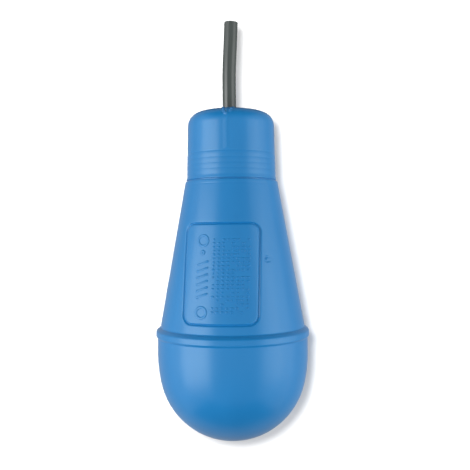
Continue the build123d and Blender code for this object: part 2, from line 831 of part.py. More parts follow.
switch_screws = []
head_y = (-half_depth - screw_head_height, -half_depth)
cross_y = (head_y[0] - cross_depth, head_y[0] + cross_depth)
for x, z in switch_holes:
    head = pin_y(screw_head_radius, head_y, x, z)
    shank = pin_y(screw_radius, (-half_depth - screw_head_height / 2, plate_y[1]), x, z)
    cross = [block((x - a, x + a), cross_y, (z - b, z + b)) for a, b in cross_halves]
    switch_screws.append(shank + head - joined(cross))
parts["switch_screws"] = Compound(children=switch_screws)

# Plunger with a round tip on the lever, and a flange inside the case

tip_rise = (lever_thickness + plunger_radius + touch_gap) / cos(rest_lean)
tip_z = pivot_z - plunger_offset * tan(rest_lean) + tip_rise
nub_top_z = blade_z - blade_thickness - plunger_gap
flange_top_z = nub_top_z - plunger_nub_height
plunger_nub = disc(plunger_nub_radius, nub_top_z, flange_top_z, plunger_x)
plunger_flange = disc(plunger_flange_radius, flange_top_z, flange_top_z - plunger_flange_height, plunger_x)
plunger_stem = disc(plunger_radius, flange_top_z, tip_z, plunger_x)
plunger_tip = Pos(plunger_x, 0, tip_z) * Sphere(plunger_radius)
parts["switch_plunger"] = joined([plunger_nub, plunger_flange, plunger_stem, plunger_tip])

# Lever on its pin, drawn level and then turned down to its rest

half_lever = lever_width / 2
lug_sides = ((-half_lever, -half_lever + lever_thickness), (half_lever - lever_thickness, half_lever))
lever_strip = block((lever_start, lever_length), (-half_lever, half_lever), (0, lever_thickness))
lugs = []
for y in lug_sides:
    web = block((0, lever_start + lever_lug), y, (-lever_lug / 2, lever_thickness))
    lugs.append(pin_y(lever_lug, y, 0, 0) + web)
lever_hole = pin_y(pin_radius + pin_gap, (-half_lever, half_lever), 0, 0)
lever_level = joined([lever_strip] + lugs) - lever_hole
parts["switch_lever"] = Pos(pivot_x, 0, pivot_z) * Rot(0, lever_rest_angle, 0) * lever_level
parts["lever_pin"] = pin_y(pin_radius, ear_span, pivot_x, pivot_z)

# Cable: the sheath, and in it three cores that fan out to the receptacles

fan_top_z = cable_end_z - fan_lead
fan_foot_z = grommet_top_z + fan_lead
core_end_z = barrel_foot_z + grip_gap
bores = []
for name, stop_x in core_stops.items():
    x = core_circle * cos(radians(core_turns[name]))
    y = core_circle * sin(radians(core_turns[name]))
    bores.append(disc(core_hole, cable_free_length, cable_end_z, x, y))
    route = [(x, y, cable_free_length), (x, y, fan_top_z), (stop_x, 0, fan_foot_z), (stop_x, 0, core_end_z)]
    runs = [Vector(*b) - Vector(*a) for a, b in zip(route, route[1:])]
    radii = []
    for before, after in zip(runs, runs[1:]):
        half_turn = radians(before.get_angle(after) / 2)
        radii.append(0.45 * min(before.length, after.length) / tan(half_turn))
    print(name, "core, bend radii in mm:", [round(radius, 1) for radius in radii])
    path = FilletPolyline(*route, radius=radii)
    start = Plane(origin=route[0], z_dir=(0, 0, -1))
    parts["core_" + name] = sweep(start * (Circle(core_radius) - Circle(conductor_radius)), path)
    parts["conductor_" + name] = sweep(start * Circle(conductor_radius), path)
free_sheath = disc(cable_radius, cable_free_length, 0)
held_sheath = disc(cable_inner_radius, 0, cable_end_z)
parts["cable_sheath"] = free_sheath + held_sheath - joined(bores)

os.makedirs("parts", exist_ok=True)
for name, piece in parts.items():
    export_step(piece, os.path.join("parts", name + ".step"))
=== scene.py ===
import math
import bpy
import numpy as np
from mathutils import Matrix, Vector


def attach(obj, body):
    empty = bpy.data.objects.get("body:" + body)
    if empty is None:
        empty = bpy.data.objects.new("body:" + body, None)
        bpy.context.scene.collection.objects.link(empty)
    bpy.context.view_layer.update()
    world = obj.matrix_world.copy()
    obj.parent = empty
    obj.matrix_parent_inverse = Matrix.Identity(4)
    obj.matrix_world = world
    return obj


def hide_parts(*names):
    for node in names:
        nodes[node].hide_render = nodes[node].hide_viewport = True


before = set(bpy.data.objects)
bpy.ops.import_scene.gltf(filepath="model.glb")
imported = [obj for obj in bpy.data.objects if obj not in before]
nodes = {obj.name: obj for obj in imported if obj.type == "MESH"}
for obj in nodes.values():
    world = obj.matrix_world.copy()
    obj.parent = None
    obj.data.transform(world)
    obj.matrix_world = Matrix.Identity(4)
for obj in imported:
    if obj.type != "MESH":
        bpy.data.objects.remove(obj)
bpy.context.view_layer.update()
mm = 0.001
print("frame loaded:", len(nodes), "nodes")


def linear(code):
    # sRGB hex to the linear values that shaders want
    channels = [int(code[i:i + 2], 16) / 255 for i in (1, 3, 5)]
    return tuple(c / 12.92 if c <= 0.04045 else ((c + 0.055) / 1.055) ** 2.4 for c in channels) + (1.0,)


def addNode(tree, kind, settings=None, links=None):
    # settings go to a property or else to the socket of that name; links go from an output to a socket
    node = tree.nodes.new(kind)
    for key, value in (settings or {}).items():
        if isinstance(key, str) and hasattr(node, key):
            setattr(node, key, value)
        else:
            node.inputs[key].default_value = value
    for key, source in (links or {}).items():
        tree.links.new(source, node.inputs[key])
    return node


def placed(name, data):
    made = bpy.data.objects.new(name, data)
    bpy.context.scene.collection.objects.link(made)
    return made


def meshObject(name, points, faces, sharpAngle=40.0):
    mesh = bpy.data.meshes.new(name)
    mesh.from_pydata(np.asarray(points, float).tolist(), [], faces)
    mesh.shade_smooth()
    mesh.set_sharp_from_angle(angle=math.radians(sharpAngle))
    return placed(name, mesh)


def gridFaces(rows, columns, closeRows=True):
    # quads of a grid that closes round its columns, and round its rows where the outline is a loop
    i = np.arange(rows if closeRows else rows - 1)[:, None]
    j = np.arange(columns)[None, :]
    below = (i + 1) % rows
    beside = (j + 1) % columns
    quads = np.stack([i * columns + j, below * columns + j, below * columns + beside, i * columns + beside], axis=-1)
    return quads.reshape(-1, 4).tolist()


def onAxis(radii, angles, heights):
    # angle 0 faces -Y and grows towards +X; sizes in millimetres, points in metres
    return np.stack([radii * np.sin(angles), -radii * np.cos(angles), heights], axis=-1).reshape(-1, 3) * mm


def spread(outline, angles):
    # radius, angle and height of every point of an outline of (radius, height) at these angles
    return [a.copy() for a in np.broadcast_arrays(outline[:, :1], angles, outline[:, 1:])]


def softOutline(corners, step=1.2, closed=True, arcSteps=4):
    # corners are (radius, height, rounding); long runs are cut into stretches of about one step
    pts = [np.array(c[:2], float) for c in corners]
    count = len(pts)
    path = []
    for k, corner in enumerate(corners):
        here, rounding = pts[k], corner[2]
        if rounding == 0 or (not closed and k in (0, count - 1)):
            path.append(here)
            continue
        toBefore = pts[k - 1] - here
        toAfter = pts[(k + 1) % count] - here
        u = toBefore / np.linalg.norm(toBefore)
        v = toAfter / np.linalg.norm(toAfter)
        half = math.acos(max(-1.0, min(1.0, float(u @ v)))) / 2
        reach = rounding / math.tan(half)
        middle = (u + v) / np.linalg.norm(u + v)
        centre = here + middle * rounding / math.sin(half)
        a = here + u * reach - centre
        b = here + v * reach - centre
        turn = math.pi - 2 * half
        for s in np.linspace(0, 1, arcSteps + 1):
            path.append(centre + (math.sin((1 - s) * turn) * a + math.sin(s * turn) * b) / math.sin(turn))
    dense = []
    for k, here in enumerate(path):
        if k == len(path) - 1 and not closed:
            dense.append(here)
            break
        after = path[(k + 1) % len(path)]
        parts = max(1, math.ceil(np.linalg.norm(after - here) / step))
        dense += [here + (after - here) * s / parts for s in range(parts)]
    return np.array(dense)


def ramp(low, high, x):
    # smooth step from 0 to 1
    t = np.clip((x - low) / (high - low), 0, 1)
    return t * t * (3 - 2 * t)


def revolved(name, outline, columns, closed=True, sharpAngle=40.0):
    # an outline turned about the axis; an open outline starts and ends on the axis
    ring = outline if closed else outline[1:-1]
    angles = np.linspace(0, 2 * math.pi, columns, endpoint=False)
    points = onAxis(*spread(ring, angles[None, :]))
    faces = gridFaces(len(ring), columns, closed)
    if not closed:
        first, last = len(points), len(points) + 1
        end = (len(ring) - 1) * columns
        points = np.vstack([points, [[0, 0, outline[0, 1] * mm], [0, 0, outline[-1, 1] * mm]]])
        for j in range(columns):
            k = (j + 1) % columns
            faces += [[first, j, k], [last, end + k, end + j]]
    return meshObject(name, points, faces, sharpAngle)


# the camera is level, 0.4 m away and a little to the right of the panel
cameraView = {
    "azimuth": 11.1,       # degrees from -Y towards +X
    "distance": 0.395,     # to the axis
    "height": -0.07445,
    "sideways": 0.00184,
    "roll": 0.5,
    "lens": 50.94,
    "sensor": 36,
    "clip": (0.01, 20),
}
azimuth = math.radians(cameraView["azimuth"])
back = Vector((math.sin(azimuth), -math.cos(azimuth), 0))    # from the object to the camera
right = Vector((math.cos(azimuth), math.sin(azimuth), 0))
up = Vector((0, 0, 1))
camera = placed("camera", bpy.data.cameras.new("camera"))
camera.data.sensor_width = cameraView["sensor"]
camera.data.lens = cameraView["lens"]
camera.data.clip_start, camera.data.clip_end = cameraView["clip"]
camera.location = back * cameraView["distance"] + right * cameraView["sideways"] + up * cameraView["height"]
leaning = Matrix.Rotation(math.radians(cameraView["roll"]), 4, -back)
facingObject = (-back).to_track_quat("-Z", "Y").to_matrix().to_4x4()
camera.matrix_world = Matrix.Translation(camera.location) @ leaning @ facingObject
bpy.context.scene.camera = camera
print("camera set")


def emptyMaterial(name):
    material = bpy.data.materials.new(name)
    material.use_nodes = True
    material.node_tree.nodes.clear()
    return material


def surfaceMaterial(name, look):
    # principled shader over Object coordinates: slow tone, grain bump and uneven gloss, with sizes in mm
    material = emptyMaterial(name)
    tree = material.node_tree
    where = addNode(tree, "ShaderNodeTexCoord")
    stretched = addNode(tree, "ShaderNodeMapping", {"Scale": look.get("stretch", (1, 1, 1))},
                        {"Vector": where.outputs["Object"]})
    pattern = {"Vector": stretched.outputs["Vector"]}
    slow = addNode(tree, "ShaderNodeTexNoise",
                   {"Scale": 1 / (look["toneSize"] * mm), "Detail": 3.0, "Roughness": 0.55}, pattern)
    tone = addNode(tree, "ShaderNodeValToRGB", links={"Fac": slow.outputs["Fac"]})
    for stop, position, code in zip(tone.color_ramp.elements, (0.32, 0.68), (look["dark"], look["light"])):
        stop.position, stop.color = position, linear(code)
    grain = addNode(tree, "ShaderNodeTexNoise", {"Scale": 1 / (look["grainSize"] * mm), "Detail": 2.0}, pattern)
    uneven = look.get("unevenGloss", 0.04)
    gloss = addNode(tree, "ShaderNodeMapRange",
                    {"To Min": look["roughness"] - uneven, "To Max": look["roughness"] + uneven},
                    {"Value": slow.outputs["Fac"]})
    height = grain.outputs["Fac"]
    colour = tone.outputs["Color"]
    if "cellSize" in look:
        # beads, strands or cast grains, with painted shade that darkens the colour towards each cell's edge, in the
        # crevices between them
        cells = addNode(tree, "ShaderNodeTexVoronoi", {"Scale": 1 / (look["cellSize"] * mm)}, pattern)
        height = addNode(tree, "ShaderNodeMath", {"operation": "SUBTRACT"},
                         {0: grain.outputs["Fac"], 1: cells.outputs["Distance"]}).outputs["Value"]
        edge = addNode(tree, "ShaderNodeMapRange",
                       {"From Max": 0.9, "To Min": 1.0, "To Max": look.get("paintedCreviceShade", 0.85)},
                       {"Value": cells.outputs["Distance"]})
        shade = addNode(tree, "ShaderNodeMix", {"data_type": "RGBA", "blend_type": "MULTIPLY", "Factor": 1.0},
                        {6: colour, 7: edge.outputs["Result"]})
        colour = shade.outputs[2]
    bump = addNode(tree, "ShaderNodeBump", {"Strength": look.get("bump", 0.3), "Distance": look["grainDepth"] * mm},
                   {"Height": height})
    shader = addNode(tree, "ShaderNodeBsdfPrincipled",
                     {"Metallic": look.get("metallic", 0.0), "IOR": look.get("ior", 1.5),
                      "Specular Tint": look.get("specularTint", (1.0, 1.0, 1.0, 1.0))},
                     {"Base Color": colour, "Roughness": gloss.outputs["Result"], "Normal": bump.outputs["Normal"]})
    addNode(tree, "ShaderNodeOutputMaterial", links={"Surface": shader.outputs["BSDF"]})
    return material


# polypropylene copolymer, injection moulded against a lightly etched mould: a waxy half gloss
mouldedPolypropylene = surfaceMaterial("mouldedPolypropyleneBlue", {
    "dark": "#1576b6", "light": "#1c7dbe", "toneSize": 34, "stretch": (1, 1, 0.35),
    "grainSize": 0.7, "grainDepth": 0.04, "bump": 0.3, "roughness": 0.29, "unevenGloss": 0.02, "ior": 1.54,
    "specularTint": (0.85, 1.0, 1.0, 1.0)})
# moisture-cure sealing compound, run on by hand: glossier than the shell, with small pits; its tone is mottled at
# random from dark to light blue, the light spots being painted glints and the dark ones painted shade in pits
setSealant = surfaceMaterial("setSealantBlue", {
    "dark": "#1c6fae", "light": "#3b8ac6", "toneSize": 1.6,
    "grainSize": 0.8, "grainDepth": 0.35, "bump": 0.8, "roughness": 0.24, "ior": 1.45})
# plasticised PVC, extruded: smooth, with faint draw lines along it
pvcSheath = surfaceMaterial("extrudedPvcSheathGrey", {
    "dark": "#363e3c", "light": "#414947", "toneSize": 3.2, "stretch": (1, 1, 0.06),
    "grainSize": 0.5, "grainDepth": 0.04, "bump": 0.4, "roughness": 0.25, "ior": 1.68})
# thin PVC insulation, extruded over each core: half gloss, with tone drawn out along it
coreFinish = {"toneSize": 2.0, "stretch": (1, 1, 0.1), "grainSize": 0.4, "grainDepth": 0.02,
              "roughness": 0.38, "ior": 1.53}
brownInsulation = surfaceMaterial("pvcInsulationBrown", {"dark": "#54301c", "light": "#603821", **coreFinish})
blackInsulation = surfaceMaterial("pvcInsulationBlack", {"dark": "#141414", "light": "#1c1c1c", **coreFinish})
blueInsulation = surfaceMaterial("pvcInsulationBlue", {"dark": "#1c4f9c", "light": "#2459a8", **coreFinish})
# bare drawn copper strands, shown as cells of 0.3 mm with painted shade between them
copperStrands = surfaceMaterial("bareCopperStrands", {
    "dark": "#b06a42", "light": "#cd8457", "toneSize": 0.6,
    "grainSize": 0.2, "grainDepth": 0.08, "cellSize": 0.3, "bump": 0.9, "roughness": 0.3, "metallic": 1.0})
# EPDM rubber, moulded: nearly black and dull
mouldedRubber = surfaceMaterial("mouldedEpdmRubber", {
    "dark": "#151515", "light": "#1d1d1c", "toneSize": 6,
    "grainSize": 0.4, "grainDepth": 0.04, "roughness": 0.68, "ior": 1.52})
# natural nylon 6, injection moulded: creamy, half gloss
naturalNylon = surfaceMaterial("mouldedNylonNatural", {
    "dark": "#cfcdc2", "light": "#dad8cd", "toneSize": 14,
    "grainSize": 0.6, "grainDepth": 0.03, "roughness": 0.42, "ior": 1.53})
# zinc-plated steel, rolled and headed: bright with a slight cloud
zincPlate = surfaceMaterial("zincPlatedSteel", {
    "dark": "#a4a6a8", "light": "#c2c4c5", "toneSize": 1.8,
    "grainSize": 0.25, "grainDepth": 0.02, "roughness": 0.33, "metallic": 1.0})
# grey iron, sand cast: dark, with the grains of the sand and painted shade between them
castIron = surfaceMaterial("sandCastGreyIron", {
    "dark": "#3b3b3c", "light": "#4c4b4a", "toneSize": 5, "grainSize": 0.9, "grainDepth": 0.25,
    "cellSize": 1.1, "paintedCreviceShade": 0.8, "bump": 0.7, "roughness": 0.62, "metallic": 0.75})
# expanded polystyrene: white beads of about 3 mm, dull, with painted shade between them
beadFoam = surfaceMaterial("expandedPolystyreneBeads", {
    "dark": "#e2e2dc", "light": "#eeeeea", "toneSize": 18, "grainSize": 0.8, "grainDepth": 0.5,
    "cellSize": 3.0, "paintedCreviceShade": 0.8, "bump": 0.8, "roughness": 0.8, "ior": 1.3})
# hardened and ground bearing steel: nearly a mirror
groundSteel = surfaceMaterial("groundBearingSteel", {
    "dark": "#b3b5b8", "light": "#c5c7ca", "toneSize": 8,
    "grainSize": 0.3, "grainDepth": 0.004, "roughness": 0.14, "metallic": 1.0})
# phenolic thermoset, moulded: black, half gloss
phenolic = surfaceMaterial("mouldedPhenolicBlack", {
    "dark": "#17171a", "light": "#202024", "toneSize": 5,
    "grainSize": 0.4, "grainDepth": 0.03, "roughness": 0.45, "ior": 1.6})
# stainless spring strip, rolled: a fine grain along X
springSteel = surfaceMaterial("rolledSpringSteel", {
    "dark": "#b5b4b0", "light": "#c8c7c3", "toneSize": 0.8, "stretch": (0.1, 1, 1),
    "grainSize": 0.2, "grainDepth": 0.01, "roughness": 0.3, "metallic": 1.0})
# brass strip, pressed: warm and bright, with tone drawn out upwards
pressedBrass = surfaceMaterial("pressedBrassStrip", {
    "dark": "#b99a55", "light": "#cfb26c", "toneSize": 2.4, "stretch": (1, 1, 0.2),
    "grainSize": 0.25, "grainDepth": 0.01, "roughness": 0.3, "metallic": 1.0})

finishes = [
    (brownInsulation, ["core_brown"]), (blackInsulation, ["core_black"]), (blueInsulation, ["core_blue"]),
    (copperStrands, ["conductor_brown", "conductor_black", "conductor_blue"]),
    (mouldedRubber, ["cable_seal", "capsule_gasket", "core_grommet"]),
    (naturalNylon, ["pressure_ring", "cable_clamp", "capsule_body", "capsule_lid"]),
    (zincPlate, ["clamp_screws", "capsule_screws", "switch_screws", "lever_pin"]),
    (castIron, ["ballast_ring"]), (beadFoam, ["foam_collar", "foam_base"]), (groundSteel, ["steel_ball"]),
    (phenolic, ["switch_case", "switch_cover", "switch_plunger"]), (springSteel, ["switch_lever"]),
    (pressedBrass, ["snap_blade", "terminal_common", "terminal_open", "terminal_closed", "wire_receptacles"]),
    (mouldedPolypropylene, ["neck_cap", "upper_shell", "lower_shell"]),
    (setSealant, ["sealant_bead"]), (pvcSheath, ["cable_sheath"]),
]
for material, names in finishes:
    for name in names:
        nodes[name].data.materials.clear()
        nodes[name].data.materials.append(material)


def finishPiece(piece, material, slotName, *replaced):
    piece.data.materials.clear()
    piece.data.materials.append(material)
    if replaced:
        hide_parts(*replaced)
    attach(piece, "housing")


print("materials made:", len(bpy.data.materials))

# the cable is a short stretch from the cap to its cut end, with a slight bow
cable = {
    "radius": 4.0,
    "length": 51.7,
    # height, and sideways shift towards the camera's right, of the points of its line
    "line": [(-0.6, -0.8), (12.0, -0.95), (26.0, -0.75), (40.0, 0.1), (51.6, 0.5)],
    # the stretch that the seal grips inside the neck
    "heldRadius": 3.65, "heldTop": -0.7, "heldFoot": -42.0, "heldRound": 0.2, "wall": 0.55, "columns": 64,
}

line = bpy.data.curves.new("cableSheathFree", "CURVE")
line.dimensions = "3D"
line.bevel_depth = cable["radius"] * mm
line.bevel_resolution = 12
line.resolution_u = 12
line.use_fill_caps = True
spline = line.splines.new("NURBS")
spline.points.add(len(cable["line"]) - 1)
for point, (height, shift) in zip(spline.points, cable["line"]):
    point.co = (*(right * (shift * mm) + up * (height * mm)), 1.0)
spline.order_u = 3
spline.use_endpoint_u = True
cableFree = placed("cableSheathFree", line)
finishPiece(cableFree, pvcSheath, "cable_sheath", "cable_sheath")
heldInner = cable["heldRadius"] - cable["wall"]
heldOutline = softOutline([
    (heldInner, cable["heldTop"], 0), (cable["heldRadius"], cable["heldTop"], 0),
    (cable["heldRadius"], cable["heldFoot"], cable["heldRound"]), (heldInner, cable["heldFoot"], 0)], step=2.0)
heldSheath = revolved("cableSheathHeld", heldOutline, cable["columns"])
finishPiece(heldSheath, pvcSheath, "cable_sheath", "cable_sheath")
print("cable made")

# the neck cap has a domed crown, a soft shoulder, a band of low rings and a lip
cap = {
    "crownRadius": 79.4, "shoulderRadius": 8.0, "footRadius": 26.1, "foot": -39.8,
    "draft": math.radians(1.2), "wall": 2.6,
    "mouthRadius": 5.45, "mouthFloor": 4.55, "mouthDepth": 1.4, "holeRadius": 3.7,
    "bandGroove": -26.9, "bandGrooveDepth": 0.08, "bandGrooveSpread": 0.35, "bandLead": 0.7, "bandStep": 0.16,
    "ringCount": 4, "ringPitch": 3.1, "ringRise": 0.12, "ringFullness": 0.8,
    "lipRise": 0.42, "lipHeight": 2.4, "lipSlope": 1.9, "lipRoot": 0.4, "lipRound": 0.8, "lipEdge": 0.3,
    "seamGap": 0.8, "seamDepth": 0.7, "seamEdge": 0.1, "bearing": 1.3, "bearingGap": 0.04,
    # the mould rib: where it faces, its width to each side, height, and where it fades in and out
    "ribTurn": math.radians(6.2), "ribLeft": 2.9, "ribRight": 1.8, "ribRise": 0.26, "ribCrest": -0.25,
    "ribStart": (6.0, 10.0), "ribEnd": (0.4, 1.6),
    "bossRadius": 9.0, "bossFoot": -9.3, "snap": -36.0, "snapRise": 0.6, "snapHalf": 1.4,
    # rows down the outside and the ceiling, and columns: fine ones at the rib, in degrees, and the others
    "crownRows": 24, "shoulderRows": 28, "wallRows": 14, "wallEnd": 0.9, "ceilingRows": 9,
    "fineHalf": 18, "fineStep": 0.4, "otherColumns": 168,
}


def capWall(z):
    return cap["footRadius"] - (z - cap["foot"]) * math.tan(cap["draft"])


# the shoulder's centre lies where its arc meets both the crown and the drafted wall
draft, crownRadius = cap["draft"], cap["crownRadius"]
outX = cap["footRadius"] - cap["shoulderRadius"] * math.cos(draft)
outZ = cap["foot"] - cap["shoulderRadius"] * math.sin(draft) + crownRadius
along = -outX * math.sin(draft) + outZ * math.cos(draft)
climb = -along + math.sqrt(along ** 2 - outX ** 2 - outZ ** 2 + (crownRadius - cap["shoulderRadius"]) ** 2)
shoulderX = outX - climb * math.sin(draft)
shoulderZ = outZ + climb * math.cos(draft) - crownRadius
lean = math.atan2(shoulderX, shoulderZ + crownRadius)
innerRound = cap["shoulderRadius"] - cap["wall"]
capInner = shoulderX + innerRound
capCeiling = shoulderZ + innerRound
lipFoot = cap["foot"] - cap["lipHeight"]
shoulderFace = lipFoot - cap["seamGap"]
bandTop = cap["foot"] + cap["ringCount"] * cap["ringPitch"]


def crownPoint(turn):
    return (crownRadius * math.sin(turn), crownRadius * (math.cos(turn) - 1))


def shoulderPoint(turn):
    return (shoulderX + cap["shoulderRadius"] * math.sin(turn), shoulderZ + cap["shoulderRadius"] * math.cos(turn))


mouthTurn = math.asin(cap["mouthRadius"] / crownRadius)
capTop = [crownPoint(turn) for turn in np.linspace(mouthTurn, lean, cap["crownRows"])]
capTop += [shoulderPoint(turn) for turn in np.linspace(lean, math.pi / 2 - draft, cap["shoulderRows"])[1:]]
wallHeights = np.linspace(capTop[-1][1], cap["bandGroove"] + cap["wallEnd"], cap["wallRows"])
capTop += [(capWall(z), z) for z in wallHeights[1:]]
capBand = []
for z in np.arange(cap["bandGroove"] + cap["bandLead"], cap["foot"], -cap["bandStep"]):
    dip = cap["bandGrooveDepth"] * math.exp(-((z - cap["bandGroove"]) / cap["bandGrooveSpread"]) ** 2)
    swell = 0.0
    if z < bandTop:
        swell = cap["ringRise"] * abs(math.sin(math.pi * (bandTop - z) / cap["ringPitch"])) ** cap["ringFullness"]
    capBand.append((capWall(z) - dip + swell, z))
lipRadius = cap["footRadius"] + cap["lipRise"]
seamRadius = lipRadius - cap["seamDepth"]
bearingFace = shoulderFace + cap["bearingGap"]
snapRise = cap["snapRise"]
snapTop = cap["snap"] + cap["snapHalf"]
snapFoot = cap["snap"] - cap["snapHalf"]
snapOuter = capInner + snapRise
capUnder = softOutline([
    (capWall(cap["foot"]), cap["foot"], cap["lipRoot"]),
    (lipRadius, cap["foot"] - cap["lipSlope"], cap["lipRound"]), (lipRadius, lipFoot, cap["lipEdge"]),
    (seamRadius, lipFoot - cap["seamEdge"], cap["seamEdge"]), (seamRadius, bearingFace, 0),
    (lipRadius - cap["bearing"], bearingFace, 0), (capInner, bearingFace, 0), (capInner, snapFoot, 0),
    (snapOuter, snapFoot + snapRise, 0), (snapOuter, snapTop - snapRise, 0), (capInner, snapTop, 0),
    (capInner, shoulderZ, 0)], step=1.5, closed=False)
capInside = [(shoulderX + innerRound * math.sin(turn), shoulderZ + innerRound * math.cos(turn))
             for turn in np.linspace(math.pi / 2, 0, cap["ceilingRows"])[1:]]
capInside += [(cap["bossRadius"], capCeiling), (cap["bossRadius"], cap["bossFoot"]),
              (cap["holeRadius"], cap["bossFoot"]), (cap["holeRadius"], -cap["mouthDepth"])]
capStart = (cap["mouthFloor"], -cap["mouthDepth"])
capOutline = np.array([capStart] + capTop + capBand + [tuple(p) for p in capUnder] + capInside)
nearRib = cap["ribTurn"] + np.radians(np.arange(-cap["fineHalf"], cap["fineHalf"] + 0.01, cap["fineStep"]))
elsewhere = np.linspace(nearRib[-1], nearRib[0] + 2 * math.pi, cap["otherColumns"])[1:-1]
capAngles = np.concatenate([nearRib, elsewhere])
capR, capA, capZ = spread(capOutline, capAngles[None, :])
# the mould rib is a low round ridge down the front, from the crown to the band
row = np.arange(len(capOutline))[:, None]
onTop = (row >= 1) & (row <= len(capTop))
facing = np.cos(capA - cap["ribTurn"]) > 0
sideStep = capR * np.sin(capA - cap["ribTurn"])
across = np.where(sideStep < 0, -sideStep / cap["ribLeft"], sideStep / cap["ribRight"])
crest = (1 - ramp(cap["ribCrest"], 1.0, across)) / (1 - ramp(cap["ribCrest"], 1.0, 0.0))
fade = ramp(*cap["ribStart"], capR) * ramp(*cap["ribEnd"], capZ - bandTop)
lift = cap["ribRise"] * crest * fade * onTop * facing
nearZero = 0.01
outward = np.arctan2(np.maximum(capR - shoulderX, nearZero), np.maximum(capZ - shoulderZ, nearZero))
capZ += lift * np.cos(outward)
capR += lift * np.sin(outward)
neckCap = meshObject("neckCap", onAxis(capR, capA, capZ), gridFaces(len(capOutline), len(capAngles)))
finishPiece(neckCap, mouldedPolypropylene, "shell_blue", "neck_cap")
print("neck cap made:", len(neckCap.data.polygons), "faces")

# sealant fills the mouth round the cable, and some of it ran down the front of the crown
sealant = {
    "clearance": 0.1, "reach": 1.9, "rise": 0.25, "depth": 1.0, "beadRows": 16, "beadColumns": 120,
    "ripples": [(0.16, 3, 1.1), (0.1, 7, 0.4), (0.06, 13, 0.0)],    # size, waves round the cable, phase
    "runTurn": math.radians(6.6), "runFrom": 12.0, "runTo": 28.8, "runHalf": 5.0, "runColumns": 61, "runRows": 121,
    # the run's lumps: across in mm, way down the crown in mm, half width, half length, height
    "lumps": [(-2.2, 22.3, 1.2, 2.8, 0.75), (2.0, 21.6, 0.95, 2.2, 0.7), (-1.1, 25.6, 1.15, 1.7, 0.75),
              (1.3, 24.4, 0.85, 1.4, 0.55), (-0.4, 27.0, 0.8, 1.0, 0.4), (-2.9, 17.5, 1.2, 2.2, 0.6),
              (2.7, 17.3, 1.2, 2.2, 0.6)],
    "lumpFall": 1.4, "lumpGain": 1.15, "skinRise": 0.09, "skinWaves": ((2.3, 1.4), (-0.8, 1.9)), "skinOnset": 3,
    "soak": 0.16, "edgeDrop": 0.12, "sink": 0.25,    # how far the run's thin parts lie below the crown
}
beadPoints = []
for k in range(sealant["beadRows"]):
    turn = 2 * math.pi * k / sealant["beadRows"]
    for j in range(sealant["beadColumns"]):
        a = 2 * math.pi * j / sealant["beadColumns"]
        ripple = 1 + sum(size * math.sin(waves * a + phase) for size, waves, phase in sealant["ripples"])
        radius = cap["holeRadius"] + sealant["clearance"] + sealant["reach"] * ripple * (0.5 + 0.5 * math.cos(turn))
        thick = sealant["rise"] * ripple if math.sin(turn) > 0 else sealant["depth"]
        height = math.sqrt(crownRadius ** 2 - radius ** 2) - crownRadius + thick * math.sin(turn)
        beadPoints.append((radius * math.sin(a), -radius * math.cos(a), height))
beadFaces = [face[::-1] for face in gridFaces(sealant["beadRows"], sealant["beadColumns"])]
sealantBead = meshObject("sealantBead", np.array(beadPoints) * mm, beadFaces, 70)
finishPiece(sealantBead, setSealant, "sealant", "sealant_bead")


def lumpHeight(side, down):
    # how far the compound stands above the crown at this place
    height = sum(h * math.exp(-(((side - x) / w) ** 2 + ((down - d) / l) ** 2) * sealant["lumpFall"])
                 for x, d, w, l, h in sealant["lumps"])
    first, second = (math.sin(u * side + v * down) for u, v in sealant["skinWaves"])
    height += sealant["skinRise"] * first * second * min(1, height * sealant["skinOnset"])
    return max(height * sealant["lumpGain"] - sealant["soak"], -sealant["edgeDrop"])


crownArc = crownRadius * lean
runAcross = np.linspace(-sealant["runHalf"], sealant["runHalf"], sealant["runColumns"])
runDown = np.linspace(sealant["runFrom"], sealant["runTo"], sealant["runRows"])
runTop, runUnder = [], []
for down in runDown:
    if down < crownArc:
        tilt = down / crownRadius
        spot = crownPoint(tilt)
    else:
        tilt = lean + (down - crownArc) / cap["shoulderRadius"]
        spot = shoulderPoint(tilt)
    for side in runAcross:
        a = sealant["runTurn"] + side / spot[0]
        for points, away in ((runTop, lumpHeight(side, down)), (runUnder, -sealant["sink"])):
            radius = spot[0] + away * math.sin(tilt)
            points.append((radius * math.sin(a), -radius * math.cos(a), spot[1] + away * math.cos(tilt)))
rows, columns = len(runDown), len(runAcross)
under = rows * columns
runFaces = []
for i in range(rows - 1):
    for j in range(columns - 1):
        quad = [i * columns + j, (i + 1) * columns + j, (i + 1) * columns + j + 1, i * columns + j + 1]
        runFaces += [quad, [under + v for v in quad[::-1]]]
rim = list(range(columns)) + [i * columns + columns - 1 for i in range(1, rows)]
rim += [(rows - 1) * columns + j for j in range(columns - 2, -1, -1)] + [i * columns for i in range(rows - 2, 0, -1)]
for here, after in zip(rim, rim[1:] + rim[:1]):
    runFaces.append([here, after, under + after, under + here])
sealantRun = meshObject("sealantRun", np.array(runTop + runUnder) * mm, runFaces, 70)
finishPiece(sealantRun, setSealant, "sealant")
print("sealant made")

